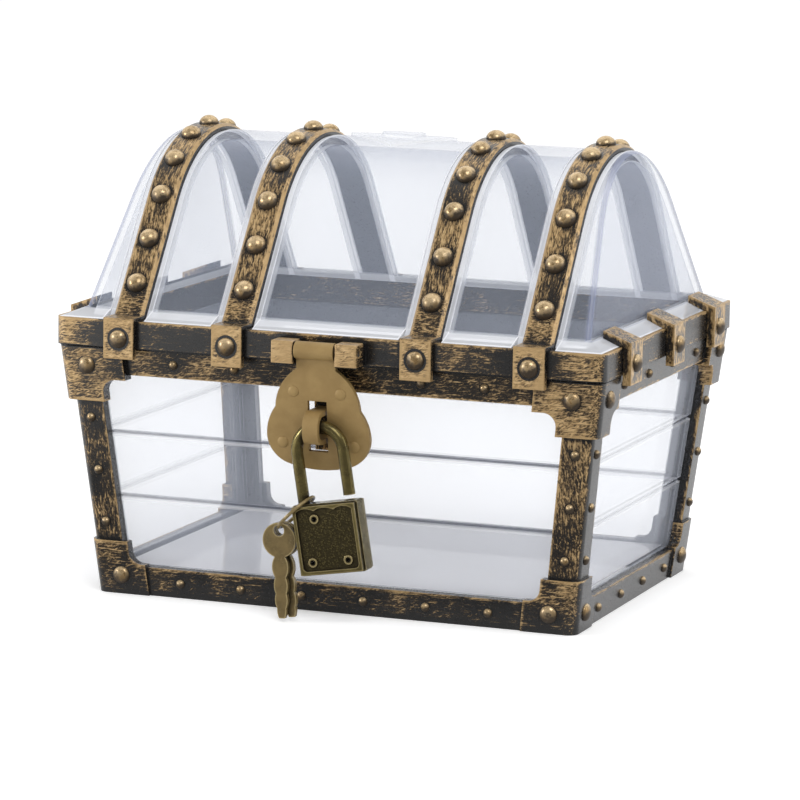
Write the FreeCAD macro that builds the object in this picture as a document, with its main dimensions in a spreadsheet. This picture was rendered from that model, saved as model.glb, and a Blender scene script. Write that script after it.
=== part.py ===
import FreeCAD, Part
import math
import os
from types import SimpleNamespace

import Sketcher
from FreeCAD import Placement, Rotation, Vector

# Treasure chest box: a clear tub in a tapered bronze frame, an arched clear lid under riveted straps,
# a hasp over a staple, and a small padlock hung open on the staple with two keys on a wire ring.
# Millimetres. X runs along the front, Y to the back, Z up; the origin is the middle of the underside.

DIMENSIONS = {
    # base frame, which narrows towards the bottom
    "base_height": 59.7,
    "frame_length_top": 131.5,
    "frame_length_bottom": 118.2,
    "frame_depth_top": 96.7,
    "frame_depth_bottom": 84.6,
    "frame_wall": 3.0,
    "frame_corner": 2.0,
    "top_rail": 6.4,
    "bottom_rail": 6.8,
    "post_front": 7.4,
    "post_side": 7.2,
    # corner boots, raised from the frame
    "upper_boot_proud": 1.6,
    "upper_boot_height": 13.0,
    "upper_boot_arm": 7.6,
    "upper_arm_front": 16.3,
    "upper_arm_side": 13.6,
    "lower_boot_proud": 0.7,
    "lower_boot_height": 12.8,
    "lower_boot_arm": 7.4,
    "lower_arm_front": 13.4,
    "lower_arm_side": 12.2,
    "upper_foot_front": 10.2,
    "lower_foot_front": 9.6,
    "boot_foot_side": 8.8,
    "boot_hollow": 3.0,
    "boot_corner": 2.6,
    "boot_rivet_inset": 6.9,
    "boot_rivet_side": 6.2,
    "upper_rivet_drop": 4.4,
    "lower_rivet_rise": 4.6,
    "boot_rivet_radius": 2.0,
    "boot_rivet_height": 0.9,
    # tongue that hangs from the front rail and carries the staple
    "tongue_width": 6.4,
    "tongue_drop": 20.7,
    # clear tub
    "tub_fit": 0.1,
    "tub_wall": 1.6,
    "tub_floor": 1.8,
    "tub_floor_level": 6.5,
    "gate_pad_radius": 5.0,
    "panel_raise": 0.8,
    "panel_gap": 0.25,
    "plank_groove_high": 38.9,
    "plank_groove_low": 23.5,
    "plank_groove_width": 1.0,
    "plank_groove_depth": 0.5,
    # lid rim
    "seam": 0.3,
    "rim_overhang_end": 2.0,
    "rim_overhang_front": 2.5,
    "rim_height": 6.5,
    "rim_corner": 3.0,
    "rim_width": 6.9,
    "rim_outer_wall": 2.0,
    "rim_inner_wall": 1.6,
    "rim_top_plate": 1.8,
    # arched dome
    "arch_rise": 7.3,
    "arch_angle": 54.5,
    "dome_inset": 4.74,
    "channel_depth": 0.8,
    "channel_step_depth": 0.35,
    "channel_step_width": 1.2,
    "dome_wall": 1.6,
    "dome_end_inset": 5.05,
    "dome_lean": 7.5,
    "dome_edge": 1.8,
    "foot_inset": 1.0,
    "foot_rise": 1.9,
    "plaque_length": 27.0,
    "plaque_depth": 18.0,
    "plaque_raise": 0.9,
    "boss_radius": 5.2,
    "boss_raise": 1.6,
    # straps over the dome
    "strap_inner_place": 23.25,
    "strap_outer_place": 50.5,
    "strap_width": 7.5,
    "strap_gap": 0.25,
    "strap_proud": 1.3,
    "strap_bevel": 0.7,
    "strap_seat": 0.05,
    "tab_proud": 1.75,
    "tab_drop": 2.3,
    "tab_ledge": 0.8,
    "tab_rivet_drop": 4.9,
    "tab_rivet_radius": 2.0,
    "tab_rivet_height": 1.0,
    "rivet_radius": 2.3,
    "rivet_crown": 1.2,
    "rivet_height": 1.6,
    "rivet_root": 0.4,
    "rivet_step": 18.2,
    "rivet_pitch": 12.0,
    # brackets at the lid's ends
    "bracket_width": 8.5,
    "bracket_place": 33.0,
    "bracket_proud": 2.0,
    "bracket_shoulder": 0.9,
    "bracket_rise": 3.4,
    "bracket_reach": 6.8,
    # rear hinges
    "hinge_place": 36.8,
    "hinge_stand_off": 3.05,
    "hinge_drop": 0.15,
    "knuckle_radius": 2.4,
    "lid_knuckle": 7.0,
    "base_knuckle": 4.6,
    "knuckle_gap": 0.3,
    "hinge_arm": 2.2,
    "hinge_pin_radius": 1.0,
    "pin_hold": 0.02,
    "running_clearance": 0.05,
    # hasp
    "hasp_pivot_out": 4.15,
    "hasp_pivot_rise": 3.4,
    "hasp_lean": 7.0,
    "hasp_knuckle_length": 9.6,
    "hasp_knuckle_radius": 2.05,
    "hasp_pin_radius": 0.8,
    "hasp_thickness": 1.2,
    "hasp_face": 0.3,
    "hasp_neck": 9.6,
    "hasp_neck_drop": 4.4,
    "hasp_shoulder_width": 20.8,
    "hasp_shoulder_drop": 13.8,
    "hasp_lobe_width": 25.4,
    "hasp_lobe_drop": 20.8,
    "hasp_toe_width": 16.0,
    "hasp_toe_drop": 27.0,
    "hasp_shoulder_round": 12.0,
    "hasp_lobe_round": 11.0,
    "hasp_heel_round": 7.2,
    "hasp_toe_round": 26.0,
    "hasp_slot_width": 4.7,
    "hasp_slot_top": 11.9,
    "hasp_slot_length": 12.0,
    "lug_width": 5.4,
    "lug_gap": 0.3,
    "lug_edge": 0.4,
    "lug_front": 1.7,
    "lug_top": 2.1,
    # staple
    "staple_width": 3.8,
    "staple_thickness": 1.2,
    "staple_drop": 18.0,
    "staple_height": 7.8,
    "staple_stand": 9.85,
    "staple_round": 3.3,
    "staple_root": 2.4,
    "staple_fit": 0.05,
    # padlock
    "shackle_radius": 1.4,
    "shackle_spacing": 11.4,
    "shackle_aside": 1.5,
    "shackle_slack": 0.15,
    "shackle_set": 2.9,
    "shackle_long": 19.6,
    "shackle_short": 10.6,
    "shackle_clearance": 0.06,
    "lock_tilt": 9.5,
    "lock_top": 11.8,
    "lock_width": 16.0,
    "lock_height": 16.5,
    "lock_core_thickness": 3.8,
    "lock_plate_thickness": 1.35,
    "lock_plate_inset": 0.3,
    "lock_edge": 0.5,
    "lock_border": 0.8,
    "lock_brow": 1.2,
    "lock_recess": 0.5,
    "lock_scallop": 0.65,
    "lock_field_round": 1.0,
    "lock_short_bore": 5.6,
    "lock_long_bore": 12.1,
    "lock_rivet_radius": 0.7,
    "lock_rivet_bore": 0.42,
    "lock_rivet_head": 1.1,
    "lock_rivet_rise": 0.4,
    "upper_lock_rivet_side": 5.4,
    "upper_lock_rivet_drop": 3.4,
    "lower_lock_rivet_side": 3.6,
    "lower_lock_rivet_rise": 3.1,
    "plug_radius": 1.5,
    "plug_length": 8.0,
    "keyway_width": 0.9,
    "keyway_depth": 3.0,
    # key ring and keys
    "ring_radius": 5.3,
    "ring_wire": 0.4,
    "ring_slope": 45.0,
    "ring_beside": 1.7,
    "ring_above": 1.6,
    "key_thickness": 1.2,
    "key_spacing": 1.55,
    "key_tilt_front": 3.0,
    "key_tilt_rear": 8.0,
    "key_bow_radius": 4.1,
    "key_bow_drop": 2.9,
    "key_hole_radius": 1.3,
    "key_hang": 0.25,
    "key_length": 21.2,
    "key_neck": 2.6,
    "key_scallop": 4.6,
    # every cutting tool runs past the solid by this much
    "overrun": 5.0,
}

# how near an edge must lie to a face to count as being on it
CLOSE = 0.01
# a small rivet's flat crown, as a share of its radius
CROWN_SHARE = 0.6
# where the padlock's scalloped field changes lobes, as a share of its half width
SCALLOP_SHARE = 0.36
# the keyway's half length as a share of the plug's radius
KEYWAY_SHARE = 0.75
# a key's notches as shares of its blade, and its narrowing towards the tip
KEY_NOTCH_SHARES = [0.34, 0.6, 0.84]
KEY_TIP_SHARE = 0.85
KEY_POINT_SHARE = 0.55
ALONG_X = Rotation(Vector(0, 1, 0), 90)
ALONG_Y = Rotation(Vector(1, 0, 0), -90)
WEDGE_UPRIGHT = Rotation(Vector(1, 0, 0), 90)

doc = FreeCAD.newDocument("treasure_chest")
sheet = doc.addObject("Spreadsheet::Sheet", "Sizes")
for row, (alias, number) in enumerate(DIMENSIONS.items(), start=1):
    sheet.set(f"A{row}", alias)
    sheet.set(f"B{row}", str(number))
    sheet.setAlias(f"B{row}", alias)
doc.recompute()


class Size:
    """A size as both its number and the sheet expression that gives it."""

    def __init__(self, text, number):
        self.text = text
        self.number = number

    def __add__(self, other):
        other = as_size(other)
        return Size(f"({self.text} + {other.text})", self.number + other.number)

    def __sub__(self, other):
        other = as_size(other)
        return Size(f"({self.text} - {other.text})", self.number - other.number)

    def __mul__(self, other):
        other = as_size(other)
        return Size(f"({self.text} * {other.text})", self.number * other.number)

    def __truediv__(self, other):
        other = as_size(other)
        return Size(f"({self.text} / {other.text})", self.number / other.number)

    def __neg__(self):
        return Size(f"(0 - {self.text})", -self.number)


def as_size(value):
    return value if isinstance(value, Size) else Size(repr(value), value)


def sine(angle):
    return Size(f"sin({angle.text})", math.sin(math.radians(angle.number)))


def cosine(angle):
    return Size(f"cos({angle.text})", math.cos(math.radians(angle.number)))


def tangent(angle):
    return Size(f"tan({angle.text})", math.tan(math.radians(angle.number)))


ZERO = as_size(0)
s = SimpleNamespace(**{alias: Size(f"Sizes.{alias}", sheet.get(alias)) for alias in DIMENSIONS})


# sizes that follow from others: the boots stay clear of the tub's panels, the rim overhangs the frame,
# and the dome stands in from the rim's edge
s.boot_depth = s.frame_wall - s.panel_raise - s.panel_gap
s.staple_front = s.frame_depth_top / 2 + s.staple_stand
s.shackle_plane = s.staple_front - s.shackle_set
s.rim_length = s.frame_length_top + s.rim_overhang_end * 2
s.rim_depth = s.frame_depth_top + s.rim_overhang_front * 2
s.rim_bottom = s.base_height + s.seam
s.rim_top = s.rim_bottom + s.rim_height
s.arch_centre = s.rim_top + s.arch_rise
s.dome_length = s.rim_length - s.dome_end_inset * 2
s.dome_foot = s.rim_depth / 2 - s.dome_inset
s.panel_radius = (s.dome_foot - s.arch_rise / tangent(s.arch_angle)) * sine(s.arch_angle)
s.tongue_bottom = s.base_height - s.tongue_drop
s.staple_bottom = s.base_height - s.staple_drop


# Building blocks


def bind(obj, **sizes):
    """Ties properties to sheet expressions; a double underscore in a name stands for a dot."""
    for path, size in sizes.items():
        obj.setExpression(path.replace("__", "."), as_size(size).text)
    return obj


def place(obj, x=ZERO, y=ZERO, z=ZERO, turn=None):
    """Sets an object's turn and ties its position to the sheet."""
    obj.Placement = Placement(Vector(), turn or Rotation())
    return bind(obj, Placement__Base__x=x, Placement__Base__y=y, Placement__Base__z=z)


def fuse(name, pieces):
    joined = doc.addObject("Part::MultiFuse", name)
    joined.Shapes = list(pieces)
    return joined


def cut(name, base, *tools):
    for number, tool in enumerate(tools, start=1):
        step = doc.addObject("Part::Cut", name if number == len(tools) else f"{name}_cut_{number}")
        step.Base = base
        step.Tool = tool
        base = step
    return base


def common(name, first, second):
    shared = doc.addObject("Part::Common", name)
    shared.Base = first
    shared.Tool = second
    return shared


def box(name, x, y, z):
    """A box between pairs of limits along X, Y and Z."""
    block = place(doc.addObject("Part::Box", name), x[0], y[0], z[0])
    return bind(block, Length=x[1] - x[0], Width=y[1] - y[0], Height=z[1] - z[0])


def rod(name, radius, length, x=ZERO, y=ZERO, z=ZERO, turn=None):
    """A cylinder that starts at the given point and runs along the turned Z axis."""
    bar = place(doc.addObject("Part::Cylinder", name), x, y, z, turn)
    return bind(bar, Radius=radius, Height=length)


def rivet(name, radius, crown, height, at, outward):
    """A flat-crowned rivet head that starts below the surface point at and stands outward."""
    head = doc.addObject("Part::Cone", name)
    x, y, z = (place_on - s.rivet_root * share for place_on, share in zip(at, outward))
    direction = Vector(*(as_size(share).number for share in outward))
    place(head, x, y, z, Rotation(Vector(0, 0, 1), direction))
    return bind(head, Radius1=radius, Radius2=crown, Height=height + s.rivet_root)


def tapered_block(name, low, high):
    """An upright block; low and high give the height, half length and half depth of its two ends."""
    block = doc.addObject("Part::Wedge", name)
    block.Placement = Placement(Vector(), WEDGE_UPRIGHT)
    bind(block, Ymin=low[0], Xmin=-low[1], Xmax=low[1], Zmin=-low[2], Zmax=low[2])
    return bind(block, Ymax=high[0], X2min=-high[1], X2max=high[1], Z2min=-high[2], Z2max=high[2])


def rounded(name, base, radius, wanted):
    """Rounds the edges of base that the test picks."""
    doc.recompute()
    edge = doc.addObject("Part::Fillet", name)
    edge.Base = base
    picked = [n for n, e in enumerate(base.Shape.Edges, start=1) if wanted(e)]
    edge.Edges = [(n, radius.number, radius.number) for n in picked]
    return edge


def is_upright(edge):
    run = edge.lastVertex().Point - edge.firstVertex().Point
    return abs(run.z) > max(abs(run.x), abs(run.y))


def profile(body, plane, name, corners, lift=ZERO):
    """A closed sketch through corners (x, y); a third number makes the next stretch an arc of that radius,
    positive where it turns left on the way."""
    sketch = body.newObject("Sketcher::SketchObject", name)
    origin = next(f for f in body.Origin.OriginFeatures if f.Role == plane)
    sketch.AttachmentSupport = [(origin, "")]
    sketch.MapMode = "FlatFace"
    bind(sketch, AttachmentOffset__Base__z=lift)
    add_loop(sketch, corners)
    return sketch


def add_loop(sketch, corners):
    """Adds one closed loop of lines and arcs, with every corner tied to the sheet."""
    ends = []
    for corner, following in zip(corners, corners[1:] + corners[:1]):
        start = Vector(corner[0].number, corner[1].number, 0)
        finish = Vector(following[0].number, following[1].number, 0)
        if len(corner) == 2:
            ends.append((sketch.addGeometry(Part.LineSegment(start, finish)), 1, 2))
            continue
        radius = abs(corner[2].number)
        left = corner[2].number > 0
        half = (finish - start) * 0.5
        across = Vector(-half.y, half.x, 0).normalize() * math.sqrt(max(radius**2 - half.Length**2, 0.0))
        middle = start + half + (across if left else -across)
        first, last = (start, finish) if left else (finish, start)
        low = math.atan2(first.y - middle.y, first.x - middle.x)
        high = math.atan2(last.y - middle.y, last.x - middle.x)
        arc = Part.ArcOfCircle(Part.Circle(middle, Vector(0, 0, 1), radius), low, high)
        ends.append((sketch.addGeometry(arc), 1, 2) if left else (sketch.addGeometry(arc), 2, 1))
    for number, (geometry, start, _) in enumerate(ends):
        before = ends[number - 1]
        sketch.addConstraint(Sketcher.Constraint("Coincident", before[0], before[2], geometry, start))
        corner = corners[number]
        tie(sketch, "DistanceX", (-1, 1, geometry, start), corner[0])
        tie(sketch, "DistanceY", (-1, 1, geometry, start), corner[1])
        if len(corner) == 3:
            span = corner[2] if corner[2].number > 0 else -corner[2]
            tie(sketch, "Radius", (geometry,), span)


def tie(sketch, kind, where, size):
    """Adds a dimension to the sketch and ties it to the sheet."""
    index = sketch.addConstraint(Sketcher.Constraint(kind, *where, size.number))
    sketch.setExpression(f"Constraints[{index}]", size.text)


def add_circle(sketch, radius, x, y):
    circle = sketch.addGeometry(Part.Circle(Vector(x.number, y.number, 0), Vector(0, 0, 1), radius.number))
    tie(sketch, "Radius", (circle,), radius)
    tie(sketch, "DistanceX", (-1, 1, circle, 3), x)
    tie(sketch, "DistanceY", (-1, 1, circle, 3), y)


def rectangle(half_x, half_y, corner):
    """Corners of a rounded rectangle about the sketch's origin."""
    in_x, in_y = half_x - corner, half_y - corner
    return [
        (-in_x, -half_y), (in_x, -half_y, corner),
        (half_x, -in_y), (half_x, in_y, corner),
        (in_x, half_y), (-in_x, half_y, corner),
        (-half_x, in_y), (-half_x, -in_y, corner),
    ]


def pad(body, sketch, name, length, symmetric=False):
    solid = body.newObject("PartDesign::Pad", name)
    solid.Profile = sketch
    solid.SideType = "Symmetric" if symmetric else "One side"
    return bind(solid, Length=length)


def pocket(body, sketch, name, depth, upwards=False):
    """Cuts the sketch into the body and makes sure that something was cut."""
    doc.recompute()
    before = body.Shape.Volume
    hollow = body.newObject("PartDesign::Pocket", name)
    hollow.Profile = sketch
    hollow.Reversed = upwards
    bind(hollow, Length=depth)
    doc.recompute()
    if body.Shape.Volume >= before:
        raise RuntimeError(f"{name} cuts nothing")
    return hollow


def new_body(name):
    return doc.addObject("PartDesign::Body", name)


# Base frame: tapered walls, windows, boots, staple tongue and hinge knuckles


def frame_half(z, bottom, top, offset):
    """Half the frame's outside measure at height z, moved out by offset."""
    return bottom / 2 + (top - bottom) / 2 * z / s.base_height + offset


def half_length(z, offset=ZERO):
    return frame_half(z, s.frame_length_bottom, s.frame_length_top, offset)


def half_depth(z, offset=ZERO):
    return frame_half(z, s.frame_depth_bottom, s.frame_depth_top, offset)


def frame_block(name, low, high, offset):
    """A block that follows the frame's taper between two heights."""
    ends = [(z, half_length(z, offset), half_depth(z, offset)) for z in (low, high)]
    return tapered_block(name, *ends)


def opening(name, low, high, offset, post_front, post_side):
    """The pair of tools that cut through front and back, and through both ends, between posts."""
    far_x = s.frame_length_top
    far_y = s.frame_depth_top
    front = [(z, half_length(z, offset) - post_front, far_y) for z in (low, high)]
    side = [(z, far_x, half_depth(z, offset) - post_side) for z in (low, high)]
    return tapered_block(f"{name}_front", *front), tapered_block(f"{name}_side", *side)


def boots(name, proud, low, high, wide, narrow, foot_front, arm_front, arm_side):
    """Four corner boots between low and high; wide and narrow are the heights that the two cuts span."""
    ring = frame_block(f"{name}_block", low, high, proud)
    ring = rounded(f"{name}_round", ring, s.boot_corner, is_upright)
    hollow = frame_block(f"{name}_hollow", low - s.overrun, high + s.overrun, -s.boot_depth)
    foot_tools = opening(f"{name}_foot", *wide, proud, foot_front, s.boot_foot_side)
    arm_tools = opening(f"{name}_arm", *narrow, proud, arm_front, arm_side)
    arm_level = wide[1] if narrow[0].number > wide[0].number else wide[0]

    def at_arm(edge):
        return all(abs(v.Z - arm_level.number) < CLOSE for v in edge.Vertexes)

    def along_y(edge):
        run = edge.lastVertex().Point - edge.firstVertex().Point
        return at_arm(edge) and abs(run.y) > abs(run.x)

    def along_x(edge):
        run = edge.lastVertex().Point - edge.firstVertex().Point
        return at_arm(edge) and abs(run.x) > abs(run.y)

    front = rounded(f"{name}_foot_front_round", foot_tools[0], s.boot_hollow, along_y)
    side = rounded(f"{name}_foot_side_round", foot_tools[1], s.boot_hollow, along_x)
    return cut(name, ring, hollow, front, side, *arm_tools)


def boot_rivets(name, proud, z):
    """One rivet on each outer face of four boots at height z."""
    heads = []
    x, y = half_length(z, proud), half_depth(z, proud)
    for side_x in (-1, 1):
        for side_y in (-1, 1):
            label = f"{name}_{'r' if side_x > 0 else 'l'}{'b' if side_y > 0 else 'f'}"
            crown = s.boot_rivet_radius * CROWN_SHARE
            size = (s.boot_rivet_radius, crown, s.boot_rivet_height)
            inset_x, inset_y = (x - s.boot_rivet_inset) * side_x, (y - s.boot_rivet_side) * side_y
            heads.append(rivet(f"{label}_face", *size, (inset_x, y * side_y, z), (0, side_y, 0)))
            heads.append(rivet(f"{label}_side", *size, (x * side_x, inset_y, z), (side_x, 0, 0)))
    return heads


def hinge_axis():
    """Y and Z of the rear hinges' axis."""
    return s.rim_depth / 2 + s.hinge_stand_off, s.base_height + s.hinge_drop


def knuckle(name, x, length, root_y, arm_low, arm_high):
    """A barrel on the hinge axis with an arm that reaches forward to root_y."""
    y, z = hinge_axis()
    low, high = x - length / 2, x + length / 2
    barrel = rod(f"{name}_barrel", s.knuckle_radius, length, low, y, z, ALONG_X)
    arm = box(f"{name}_arm", (low, high), (root_y, y), (arm_low, arm_high))
    return [barrel, arm]


def make_base_frame():
    outside = rounded(
        "frame_round", frame_block("frame_outside", ZERO, s.base_height, ZERO), s.frame_corner, is_upright
    )
    inside = frame_block("frame_inside", -s.overrun, s.base_height + s.overrun, -s.frame_wall)
    window = (s.bottom_rail, s.base_height - s.top_rail)
    front_window, side_window = opening("frame_window", *window, ZERO, s.post_front, s.post_side)
    tongue = box(
        "tongue_space",
        (-s.tongue_width / 2, s.tongue_width / 2),
        (-s.frame_depth_top, ZERO),
        (s.tongue_bottom, s.base_height),
    )
    front_window = cut("frame_window_beside_tongue", front_window, tongue)
    walls = cut("frame_walls", outside, inside, front_window, side_window)

    top, under = s.base_height, s.base_height - s.upper_boot_height
    arm = top - s.upper_boot_arm
    upper = boots(
        "upper_boots", s.upper_boot_proud, under, top,
        (under - s.overrun, arm), (arm - s.boot_hollow, top + s.overrun),
        s.upper_foot_front, s.upper_arm_front, s.upper_arm_side,
    )
    lower = boots(
        "lower_boots", s.lower_boot_proud, ZERO, s.lower_boot_height,
        (s.lower_boot_arm, s.lower_boot_height + s.overrun), (-s.overrun, s.lower_boot_arm + s.boot_hollow),
        s.lower_foot_front, s.lower_arm_front, s.lower_arm_side,
    )
    heads = boot_rivets("upper_boot_rivet", s.upper_boot_proud, top - s.upper_rivet_drop)
    heads += boot_rivets("lower_boot_rivet", s.lower_boot_proud, s.lower_rivet_rise)

    barrels = []
    root = half_depth(top) - s.frame_wall / 2
    offset = (s.lid_knuckle + s.base_knuckle) / 2 + s.knuckle_gap
    for hinge, side in (("left", -1), ("right", 1)):
        for end, step in (("a", -1), ("b", 1)):
            x = s.hinge_place * side + offset * step
            name = f"base_knuckle_{hinge}_{end}"
            barrels += knuckle(name, x, s.base_knuckle, root, top - s.hinge_arm, top)
    solid = fuse("base_frame_solid", [walls, upper, lower, *heads, *barrels])
    bore = hinge_bore("base_hinge_bore", s.hinge_pin_radius + s.pin_hold)
    return cut("base_frame", solid, bore, *staple_holes())


def hinge_bore(name, radius):
    """One long tool through every knuckle of a row."""
    y, z = hinge_axis()
    return rod(name, radius, s.rim_length, -s.rim_length / 2, y, z, ALONG_X)


def staple_levels():
    """Undersides of the staple's two legs."""
    return s.staple_bottom, s.staple_bottom + s.staple_height - s.staple_thickness


def staple_holes():
    """Tools that leave the staple's legs their holes in the tongue."""
    half = s.staple_width / 2 + s.staple_fit
    holes = []
    for name, z in zip(("staple_hole_low", "staple_hole_high"), staple_levels()):
        reach = (z - s.staple_fit, z + s.staple_thickness + s.staple_fit)
        holes.append(box(name, (-half, half), (-s.staple_front, -staple_root() + s.staple_fit), reach))
    return holes


def staple_root():
    """How far forward of the chest's middle the staple's legs begin, inside the tongue."""
    return half_depth(s.staple_bottom + s.staple_height) - s.staple_root


# Clear tub that drops into the frame


def make_base_tub():
    face = -s.frame_wall - s.tub_fit
    shell = frame_block("tub_outside", ZERO, s.base_height, face)
    raised_to = -s.frame_wall + s.panel_raise
    span = (s.bottom_rail + s.panel_gap, s.base_height - s.top_rail - s.panel_gap)
    panel_tools = opening("tub_panel", *span, ZERO, s.post_front + s.panel_gap, s.post_side + s.panel_gap)
    block = frame_block("tub_panel_block", *span, raised_to)
    panels = common("tub_panels", block, fuse("tub_panel_spans", panel_tools))
    half = s.tongue_width / 2 + s.panel_gap
    before_tongue = box(
        "tub_tongue_front",
        (-half, half),
        (-s.frame_depth_top, ZERO),
        (s.tongue_bottom - s.panel_gap, s.base_height),
    )
    tongue_room = cut(
        "tub_tongue_room", before_tongue, frame_block("tub_tongue_wall", ZERO, s.base_height, face)
    )
    inside = face - s.tub_wall
    floor_low = s.tub_floor_level - s.tub_floor
    cavity = frame_block("tub_cavity", s.tub_floor_level, s.base_height + s.overrun, inside)
    under = frame_block("tub_under", -s.overrun, floor_low, inside)
    gate_pad = rod("tub_gate_pad", s.gate_pad_radius, floor_low + s.tub_floor / 2)
    grooves = []
    for name, z in (("high", s.plank_groove_high), ("low", s.plank_groove_low)):
        low, high = z - s.plank_groove_width / 2, z + s.plank_groove_width / 2
        band = frame_block(f"groove_band_{name}", low, high, s.overrun)
        core = frame_block(
            f"groove_core_{name}", low - s.overrun, high + s.overrun, raised_to - s.plank_groove_depth
        )
        grooves.append(cut(f"plank_groove_{name}", band, core))
    solid = fuse("base_tub_solid", [shell, panels])
    return fuse("base_tub", [cut("base_tub_shell", solid, tongue_room, cavity, under, *grooves), gate_pad])


# Staple: a flat strip bent round to a loop


def make_staple():
    body = new_body("staple")
    low, high = s.staple_bottom, s.staple_bottom + s.staple_height
    root, front, bend, thick = -staple_root(), -s.staple_front, s.staple_round, s.staple_thickness
    inner = bend - thick
    corners = [
        (root, high), (front + bend, high, bend),
        (front, high - bend), (front, low + bend, bend),
        (front + bend, low), (root, low), (root, low + thick),
        (front + bend, low + thick, -inner),
        (front + thick, low + bend), (front + thick, high - bend, -inner),
        (front + bend, high - thick), (root, high - thick),
    ]
    bend_line = profile(body, "YZ_Plane", "staple_bend", corners)
    pad(body, bend_line, "staple_strip", s.staple_width, symmetric=True)
    return body


# Lid rim with hasp lugs and hinge knuckles


def hasp_pivot():
    """Y and Z of the hasp's hinge."""
    return -(s.rim_depth / 2 + s.hasp_pivot_out), s.rim_bottom + s.hasp_pivot_rise


def make_lid_rim():
    body = new_body("lid_rim_ring")
    half_x, half_y = s.rim_length / 2, s.rim_depth / 2
    ring = profile(body, "XY_Plane", "rim_outline", rectangle(half_x, half_y, s.rim_corner), s.rim_bottom)
    corner = s.rim_corner - s.rim_outer_wall
    add_loop(ring, rectangle(half_x - s.rim_width, half_y - s.rim_width, corner))
    pad(body, ring, "rim_ring", s.rim_height)
    outer, inner = s.rim_outer_wall, s.rim_width - s.rim_inner_wall
    around = rectangle(half_x - outer, half_y - outer, corner)
    channel = profile(body, "XY_Plane", "rim_channel_outline", around, s.rim_bottom)
    add_loop(channel, rectangle(half_x - inner, half_y - inner, corner))
    pocket(body, channel, "rim_channel", s.rim_height - s.rim_top_plate, upwards=True)

    pivot_y, pivot_z = hasp_pivot()
    pieces = [body]
    near = s.hasp_knuckle_length / 2 + s.lug_gap
    for name, side in (("left", -1), ("right", 1)):
        span = (near, near + s.lug_width) if side > 0 else (-near - s.lug_width, -near)
        lug = box(
            f"hasp_lug_{name}",
            span,
            (pivot_y - s.lug_front, -half_y + s.rim_outer_wall),
            (s.rim_bottom, pivot_z + s.lug_top),
        )
        pieces.append(rounded(f"hasp_lug_{name}_round", lug, s.lug_edge, lambda edge: True))
    low = s.rim_bottom + s.knuckle_gap
    for hinge, side in (("left", -1), ("right", 1)):
        x = s.hinge_place * side
        arm = (low, low + s.hinge_arm)
        pieces += knuckle(f"lid_knuckle_{hinge}", x, s.lid_knuckle, half_y - s.rim_outer_wall, *arm)
    solid = fuse("lid_rim_solid", pieces)
    held = s.hasp_pin_radius + s.pin_hold
    pin_hole = rod("hasp_pin_hole", held, s.rim_depth, -half_y, pivot_y, pivot_z, ALONG_X)
    bore = hinge_bore("lid_hinge_bore", s.hinge_pin_radius + s.running_clearance)
    return cut("lid_rim", solid, pin_hole, bore)


# Clear dome: an arch with leaning ends, channels for the straps and a sloping foot


def arch_side(radius, z):
    """How far out the arch's straight side stands at height z."""
    side, top = arch_shoulder(radius)
    return side + (top - z) / tangent(s.arch_angle)


def arch_shoulder(radius):
    """Where the arch's round top runs into its straight side."""
    return radius * sine(s.arch_angle), s.arch_centre + radius * cosine(s.arch_angle)


def arch(name, radius, bottom, length):
    """A solid arch along X whose round top has the given radius."""
    body = new_body(name)
    out, (side, top) = arch_side(radius, bottom), arch_shoulder(radius)
    corners = [(-out, bottom), (out, bottom), (side, top, radius), (-side, top)]
    pad(body, profile(body, "YZ_Plane", f"{name}_outline", corners), f"{name}_run", length, symmetric=True)
    return body


def end_block(name, low, high, inset):
    """A block whose ends lean as the dome's end walls do."""
    lean = tangent(s.dome_lean)
    ends = [(z, s.dome_length / 2 - inset - (z - s.rim_top) * lean, s.rim_depth) for z in (low, high)]
    return tapered_block(name, *ends)


def foot_ends():
    """How far out along X the dome's sloping foot starts, and where it meets the end wall."""
    return s.rim_length / 2 - s.foot_inset, s.dome_length / 2 - s.foot_rise * tangent(s.dome_lean)


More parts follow.
